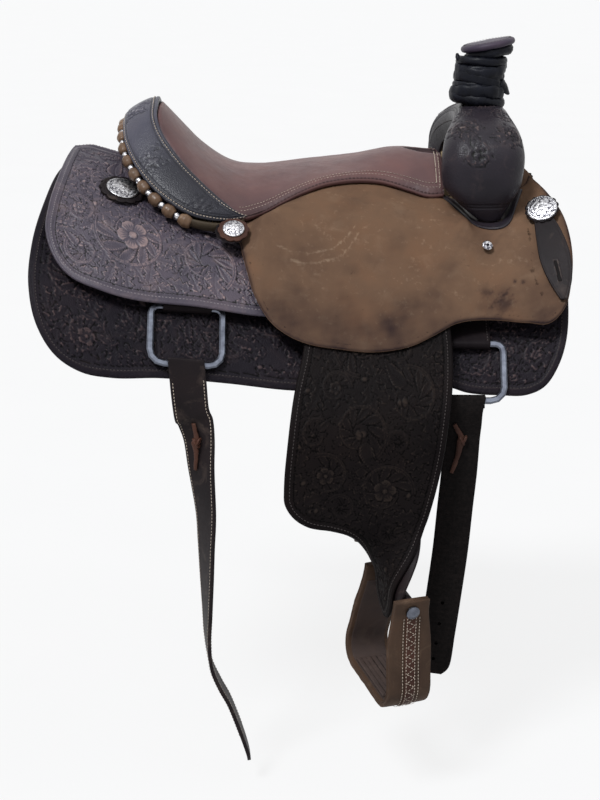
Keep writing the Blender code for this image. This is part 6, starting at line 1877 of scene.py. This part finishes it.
# Loose ends and wider bands of rubber over the wrap
flap = [round_horn(0.5, 31, 30), round_horn(0.3, 26, 34.0), round_horn(0.2, 20, 38),
        round_horn(0.15, 14.5, 42.5)]
made = rod("horn_rubber_flap", flap, [10.0 * MM, 9.4 * MM, 7.4 * MM, 2.4 * MM], RUBBER, flat=0.55,
           wave=0.7 * MM)
stand(made, "saddle", "rubber")
spike = [round_horn(math.pi - 0.25, 53, 31), round_horn(math.pi - 0.2, 57, 33.5),
         round_horn(math.pi - 0.15, 61, 34.5)]
made = rod("horn_rubber_end", spike, [5.0 * MM, 4.4 * MM, 2.4 * MM], RUBBER, flat=0.7, wave=0.4 * MM)
stand(made, "saddle", "rubber")
loop = np.linspace(0, 2 * math.pi, 41)
for name, path, wide_at, flat_by in (("horn_rubber_foot", [round_horn(t, 4.0, 29.5, -1.5) for t in loop], 8.6,
                                      1.0), ("horn_rubber_lower",
                                             [round_horn(t, 12 + 5 * math.sin(t + 0.6), 35.2)
                                              for t in np.linspace(0.3, 3.4, 26)], 8.5, 0.34),
                                              ("horn_rubber_middle",
                                               [round_horn(t, 27 + 7 * math.sin(t - 0.9), 32.4)
                                                for t in np.linspace(-0.2, 3.6, 30)], 7.5, 0.36),
                                                ("horn_rubber_upper",
                                                 [round_horn(t, 46 - 8 * math.sin(t - 0.5), 31.8)
                                                  for t in np.linspace(-0.3, 3.5, 30)], 8.0, 0.36),
                                                  ("horn_rubber_top",
                                                   [CAP_MIDDLE - cap_axis * 5.2 * MM
                                                    + (cap_front * math.cos(t)
                                                       + off_way * math.sin(t)) * 24.5 * MM for t in loop],
                                                       7.6, 1.0)):
    count = len(path)
    size = [wide_at * MM * (1 + 0.10 * math.sin(5.3 * k / count * 6.28)) for k in range(count)]
    if flat_by < 1:
        size[0] = size[-1] = wide_at * 0.35 * MM
        rows = [tuple(p) + (r,) for p, r in zip(path, size)]
        line = smooth_line(rows, 2 * MM)
        middle_of = HORN_BASE + horn_axis * ((line[:, :3] - HORN_BASE) @ horn_axis)[:, None]
        out_of = unit(line[:, :3] - middle_of)
        over_of = np.cross(unit(np.gradient(line[:, :3], axis=0)), out_of)
        rings = tube(line[:, :3], out_of, over_of, line[:, 3], 14, flat_by)
        rings = creased(rings, line[:, None, :3], lambda p: 0.9 * MM * ripple(p, 12 * MM, 63, 4))
        made = rings_object(name, rings, RUBBER)
    else:
        made = rod(name, path, size, RUBBER, sides=16, wave=0.8 * MM, seed=64)
    stand(made, "saddle", "rubber")

# ---------------------------------------------------------------- conchos, rosettes, screws
def disc_of(name):
    """Centre of the foot, axis, radius and height of a turned CAD node."""
    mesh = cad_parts[name].data
    points = np.array([tuple(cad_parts[name].matrix_world @ v.co) for v in mesh.vertices])
    points = np.unique(points.round(6), axis=0)
    mid = points.mean(0)
    axis = np.linalg.svd(points - mid)[2][2]
    if axis[1] * mid[1] < 0 or (abs(axis[1]) < 0.2 and axis[2] < 0):
        axis = -axis
    high = (points - mid) @ axis
    foot = points[high < high.min() + 0.2 * MM]
    centre = foot.mean(0)
    radius = np.linalg.norm(np.cross(points - centre, axis), axis=1).max()
    return centre, axis, radius, high.max() - high.min()


def concho(name, node, rays, body):
    """A stamped silver concho: roped rim, rayed field, small petals round a raised middle."""
    centre, axis, radius, high = disc_of(node)
    r = [0.0, 0.05, 0.12, 0.18, 0.22, 0.28, 0.34, 0.40, 0.46, 0.52, 0.58, 0.64, 0.70, 0.75, 0.79, 0.83, 0.87,
         0.90, 0.93, 0.96, 0.985, 1.0, 1.0, 0.99]
    dome = [high * (1 - 0.62 * v**1.7) for v in r]
    dome[-3:] = [high * 0.30, high * 0.12, 0.0]
    profile = [(max(v, 0.004) * radius, h) for v, h in zip(r, dome)]
    part = dense_rows(np.array(profile), 3)

    def stamp(angles, rad, h):
        v = rad / radius
        made = np.zeros(len(angles))
        if v < 0.20:
            made += 0.35 * MM * (1 - (v / 0.2) ** 2)
        elif v < 0.55:
            arch = math.sin(math.pi * (v - 0.20) / 0.35)
            made += 0.32 * MM * np.abs(np.cos(rays / 2 * angles)) ** 0.5 * arch - 0.15 * MM
        elif v < 0.80:
            made += 0.16 * MM * np.sin(rays * 4 * angles) * math.sin(math.pi * (v - 0.55) / 0.25)
        elif v < 0.99:
            weave = np.abs(np.sin(rays * 2.5 * angles + 7 * v))
            made += 0.42 * MM * weave * math.sin(math.pi * (v - 0.80) / 0.19)
        return made

    rings = lathe(part, centre, axis, 240, radial=stamp)
    turn = np.arange(240) * 2 * math.pi / 240
    cut = []
    for r_at, _ in part:
        v = r_at / radius
        if v < 0.20:
            row = 0.55 * (np.abs(np.sin(3 * turn)) > 0.93) * (v > 0.06)
        elif v < 0.80:
            petals = np.abs(np.cos(rays / 2 * turn))
            edge_at = 0.24 + 0.50 * petals**0.7
            row = 0.75 * (np.abs(v - edge_at) < 0.035) + 0.55 * ((v > edge_at + 0.02)
                                                                 & (np.sin(rays * 4 * turn + 26 * v) > 0.35))
            row = row + 0.35 * (np.abs(np.sin(rays / 2 * turn)) < 0.08) * (v < edge_at)
        elif v < 0.86:
            row = 0.7 * (np.abs(v - 0.83) < 0.018) * np.ones(len(turn))
        else:
            row = 0.75 * (np.sin(rays * 5 * turn + 9 * v) > 0.62) * (v < 0.98)
        cut.append(row + np.zeros(len(turn)))
    made = rings_object(name, rings, SILVER, {"carve": np.concatenate(cut)})
    stand(made, body, "silver", node)
    return centre, axis, radius


def rosette(name, centre, axis, radius, thick, lobes, body, node=None, mat=None):
    """A scalloped leather disc with a pressed line."""
    profile = [(0.30, 0.0), (0.93, 0.0), (0.99, 0.35), (1.0, 0.6), (0.97, 0.9), (0.90, 1.0), (0.80, 0.93),
               (0.60, 1.0), (0.3, 1.0)]
    part = dense_rows(np.array([(r * radius, h * thick) for r, h in profile]), 3)

    def wave(angles, rad, h):
        v = rad / radius
        scale = 1 - 0.09 * (1 - np.abs(np.cos(lobes / 2 * angles)) ** 0.7) * smooth((v - 0.5) / 0.4)
        line = -0.5 * MM * np.exp(-((v - 0.84) / 0.03) ** 2) * (h > 0.5 * thick)
        return np.zeros(len(angles)) + line, scale

    rings = lathe(part, centre, axis, 144, radial=wave)
    made = rings_object(name, rings, mat or STRAP_DARK)
    return stand(made, body, "black_leather", *([node] if node else []))


for side, tag in SIDES:
    for kind, lobes, mat in (("rear", 12, STRAP_DARK), ("seat", 10, LACE_BROWN)):
        centre, axis, radius, high = disc_of(f"rosette_{kind}_{tag}")
        rosette(f"rosette_{kind}_leather_{tag}", centre, axis, radius, high, lobes, "saddle",
                f"rosette_{kind}_{tag}", mat)
        concho(f"concho_{kind}_silver_{tag}", f"concho_{kind}_{tag}", 12 if kind == "rear" else 8, "saddle")
        shift = np.array([0, 0, 0]) if kind == "rear" else np.array([-0.0028, 0, -0.0024])
        shift = shift - axis * (axis @ shift)
        rosette(f"rosette_{kind}_under_{tag}", centre + shift - axis * 0.75 * MM, axis, radius * 1.045,
                0.7 * MM, lobes + 2, "saddle", None, RIG_DARK)
    centre, axis, radius, high = disc_of("jockey_screw_" + tag)
    profile = [(0.97, 0), (1.0, 0.3), (0.97, 0.62), (0.85, 0.86), (0.62, 0.98), (0.34, 1.0), (0.28, 0.88),
               (0.26, 0.30), (0.02, 0.28)]
    part = dense_rows(np.array([(r * radius, h * high) for r, h in profile]), 4)
    # Painted shade: the socket in the middle of the screw head is coloured near black; the rest is dulled a
    # little.
    cut = np.repeat(np.where(part[:, 0] < 0.30 * radius, 0.9, 0.22), 48)
    made = rings_object("jockey_screw_dome_" + tag, lathe(part, centre, axis, 48), SILVER, {"carve": cut})
    stand(made, "saddle", "silver", "jockey_screw_" + tag)

# Rope strap and latigo keeper
SLOT_AT, SLOT_HALF = 114 * MM, 15 * MM
KEEPER_LINE = [(317, 97, 7), (317, 103, 12), (317, 114, 13), (318, 124, 12), (322, 143, 16), (327, 172, 19.5),
               (330, 192, 19), (334, 217, 14), (336, 240, 4)]
for side, tag, name in ((-1, "off", "rope_strap"), (1, "near", "latigo_keeper")):
    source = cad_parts["seat_jockey_" + tag]
    tree = BVHTree.FromPolygons([source.matrix_world @ v.co for v in source.data.vertices],
                                [tuple(p.vertices) for p in source.data.polygons])

    def lies_on(x, s):
        return back(x, s, float(jockey_high(x, s)), side)

    def face_at(x, s):
        """The jockey's outer face at a spot, and its normal."""
        step = 4 * MM
        ahead = lies_on(x + step, s) - lies_on(x - step, s)
        down = lies_on(x, s + step) - lies_on(x, s - step)
        out = unit(np.cross(ahead, down))
        return lies_on(x, s), out if out[1] * side > 0 else -out

    lain = []
    for x, s, half in KEEPER_LINE:
        u, v = x * MM, s * MM
        face, up = face_at(u, v)
        ahead = unit(back(u + 3 * MM, v, 0.05, side) - back(u - 3 * MM, v, 0.05, side))
        rise = []
        for part in (-1, -0.5, 0, 0.5, 1):
            p = face + ahead * (half * part * MM)
            hit = tree.ray_cast(vec(p + up * 40 * MM), vec(-up), 80 * MM)[0]
            if hit:
                rise.append(float((np.array(hit) - p) @ up))
        lain.append((face + up * (max(rise) + 4 * MM), up, half * MM))
    stations = []
    for i, (mid, up, half) in enumerate(lain):
        a, b = lain[max(i - 1, 0)][0], lain[min(i + 1, len(lain) - 1)][0]
        stations.append([mid, unit(np.cross(up, unit(b - a))), up, half, 3.4 * MM])

    def slot_cut(at, w, half):
        beside, along = np.abs(w + 1.0 * MM), np.abs(at - SLOT_AT)
        slot = (beside < 1.9 * MM) & (along < SLOT_HALF)
        lips = (beside < 3.4 * MM) & (along < SLOT_HALF + 2 * MM) & ~slot
        return -1.1 * slot + 0.3 * lips - 0.35 * groove(half - np.abs(w), 3.0 * MM, 0.6 * MM)

    made, line = strap(name + "_leather", stations, STRAP_DARK, step=1.5 * MM, columns=33, relief=slot_cut)
    stand(made, name, "black_leather", name)
    centre, axis, radius, high = disc_of("concho_front_" + tag)
    rosette(f"rosette_front_leather_{tag}", centre - axis * 0.5 * MM, axis, radius + 2.6 * MM, 0.9 * MM, 14,
            name, None, RIG_DARK)
    concho(f"concho_front_silver_{tag}", "concho_front_" + tag, 9, name)

# ---------------------------------------------------------------- CAD nodes that stay
for names, mat in ((["fork_wood", "ground_seat", "cantle_board", "tree_bar_off", "tree_bar_near"], TREE_WOOD),
                   (["horn_post"], IRON), (["rear_dee_off", "rear_dee_near", "front_dee_off",
                                            "front_dee_near", "stirrup_bolt_off", "stirrup_bolt_near"],
                                            STEEL),):
    for name in names:
        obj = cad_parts[name]
        for slot in obj.material_slots:
            slot.material = mat
        if mat is STEEL:
            bevel = obj.modifiers.new("round", "BEVEL")
            bevel.width, bevel.segments = 0.9 * MM, 3
            bevel.limit_method, bevel.angle_limit = "ANGLE", math.radians(25)

# ---------------------------------------------------------------- camera, floor, light
CAMERA_FAR, CAMERA_DOWN, AIM_Z = 2.5, 15, -0.258
SENSOR, LENS = 36.0, 79.2
camera = bpy.data.cameras.new("camera")
camera.sensor_fit, camera.lens = "AUTO", LENS
camera.sensor_width = camera.sensor_height = SENSOR
camera.clip_end = 200
eye = bpy.data.objects.new("camera", camera)
scene.collection.objects.link(eye)
tilt = math.radians(CAMERA_DOWN)
eye.location = (0.0, -CAMERA_FAR * math.cos(tilt), AIM_Z + CAMERA_FAR * math.sin(tilt))
eye.rotation_euler = (math.radians(90 - CAMERA_DOWN), 0, 0)
scene.camera = eye


def shown_white(tree, shader, white, output, share=1.0):
    """White where it is seen straight, mirrored or through; the plain shader lights the rest."""
    path = tree.nodes.new("ShaderNodeLightPath")
    seen = math_node(tree, "MAXIMUM", path.outputs["Is Camera Ray"], path.outputs["Is Glossy Ray"])
    seen = math_node(tree, "MAXIMUM", seen, path.outputs["Is Transmission Ray"])
    if share < 1:
        seen = math_node(tree, "MULTIPLY", seen, share)
    mixer = tree.nodes.new("ShaderNodeMixShader")
    for socket, source in zip(mixer.inputs, (seen, shader.outputs[0], white.outputs[0])):
        tree.links.new(source, socket)
    tree.links.new(mixer.outputs[0], tree.nodes[output].inputs["Surface"])


FLOOR_Z, FLOOR_HALF = -0.715, 60
mesh = bpy.data.meshes.new("floor")
corners = [(x * FLOOR_HALF, y * FLOOR_HALF, FLOOR_Z) for x, y in ((-1, -1), (1, -1), (1, 1), (-1, 1))]
mesh.from_pydata(corners, [], [(0, 1, 2, 3)])
floor = bpy.data.objects.new("floor", mesh)
scene.collection.objects.link(floor)
floor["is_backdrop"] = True
mat, tree, shader = new_material("floor_paper")
fine = noise_of(tree, 3.0, 3.0)
tree.links.new(ramp(tree, fine, [(0.3, (0.60, 0.60, 0.61)), (0.7, (0.64, 0.64, 0.65))]),
               shader.inputs["Base Color"])
shader.inputs["Roughness"].default_value = 0.9
shader.inputs["Specular IOR Level"].default_value = 0.1
glow = node(tree, "ShaderNodeEmission", Strength=1.0)
glow.inputs["Color"].default_value = (1, 1, 1, 1)
shown_white(tree, shader, glow, "Material Output", 0.84)
mesh.materials.append(mat)

world = bpy.data.worlds.new("studio")
scene.world = world
world.use_nodes = True
tree = world.node_tree
soft = tree.nodes["Background"]
soft.inputs["Color"].default_value = (0.90, 0.95, 1.0, 1)
soft.inputs["Strength"].default_value = 0.27
white = node(tree, "ShaderNodeBackground", Strength=1.0)
white.inputs["Color"].default_value = (1, 1, 1, 1)
shown_white(tree, soft, white, "World Output")


def sun(name, strength, angle, way, color=(1, 1, 1)):
    data = bpy.data.lights.new(name, "SUN")
    data.energy, data.angle, data.color = strength, math.radians(angle), color
    obj = bpy.data.objects.new(name, data)
    obj.rotation_euler = Vector(way).to_track_quat("-Z", "Y").to_euler()
    scene.collection.objects.link(obj)


sun("key", 2.75, 16, (0.42, 0.62, -1.0), (0.95, 0.975, 1.0))
sun("top", 0.70, 70, (-0.25, 0.45, -1.0), (0.93, 0.96, 1.0))
scene.view_settings.view_transform = "Standard"

low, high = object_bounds()
({"cad": [list(map(float, cad_low)), list(map(float, cad_high))],
           "visual": [list(map(float, low)), list(map(float, high))]})
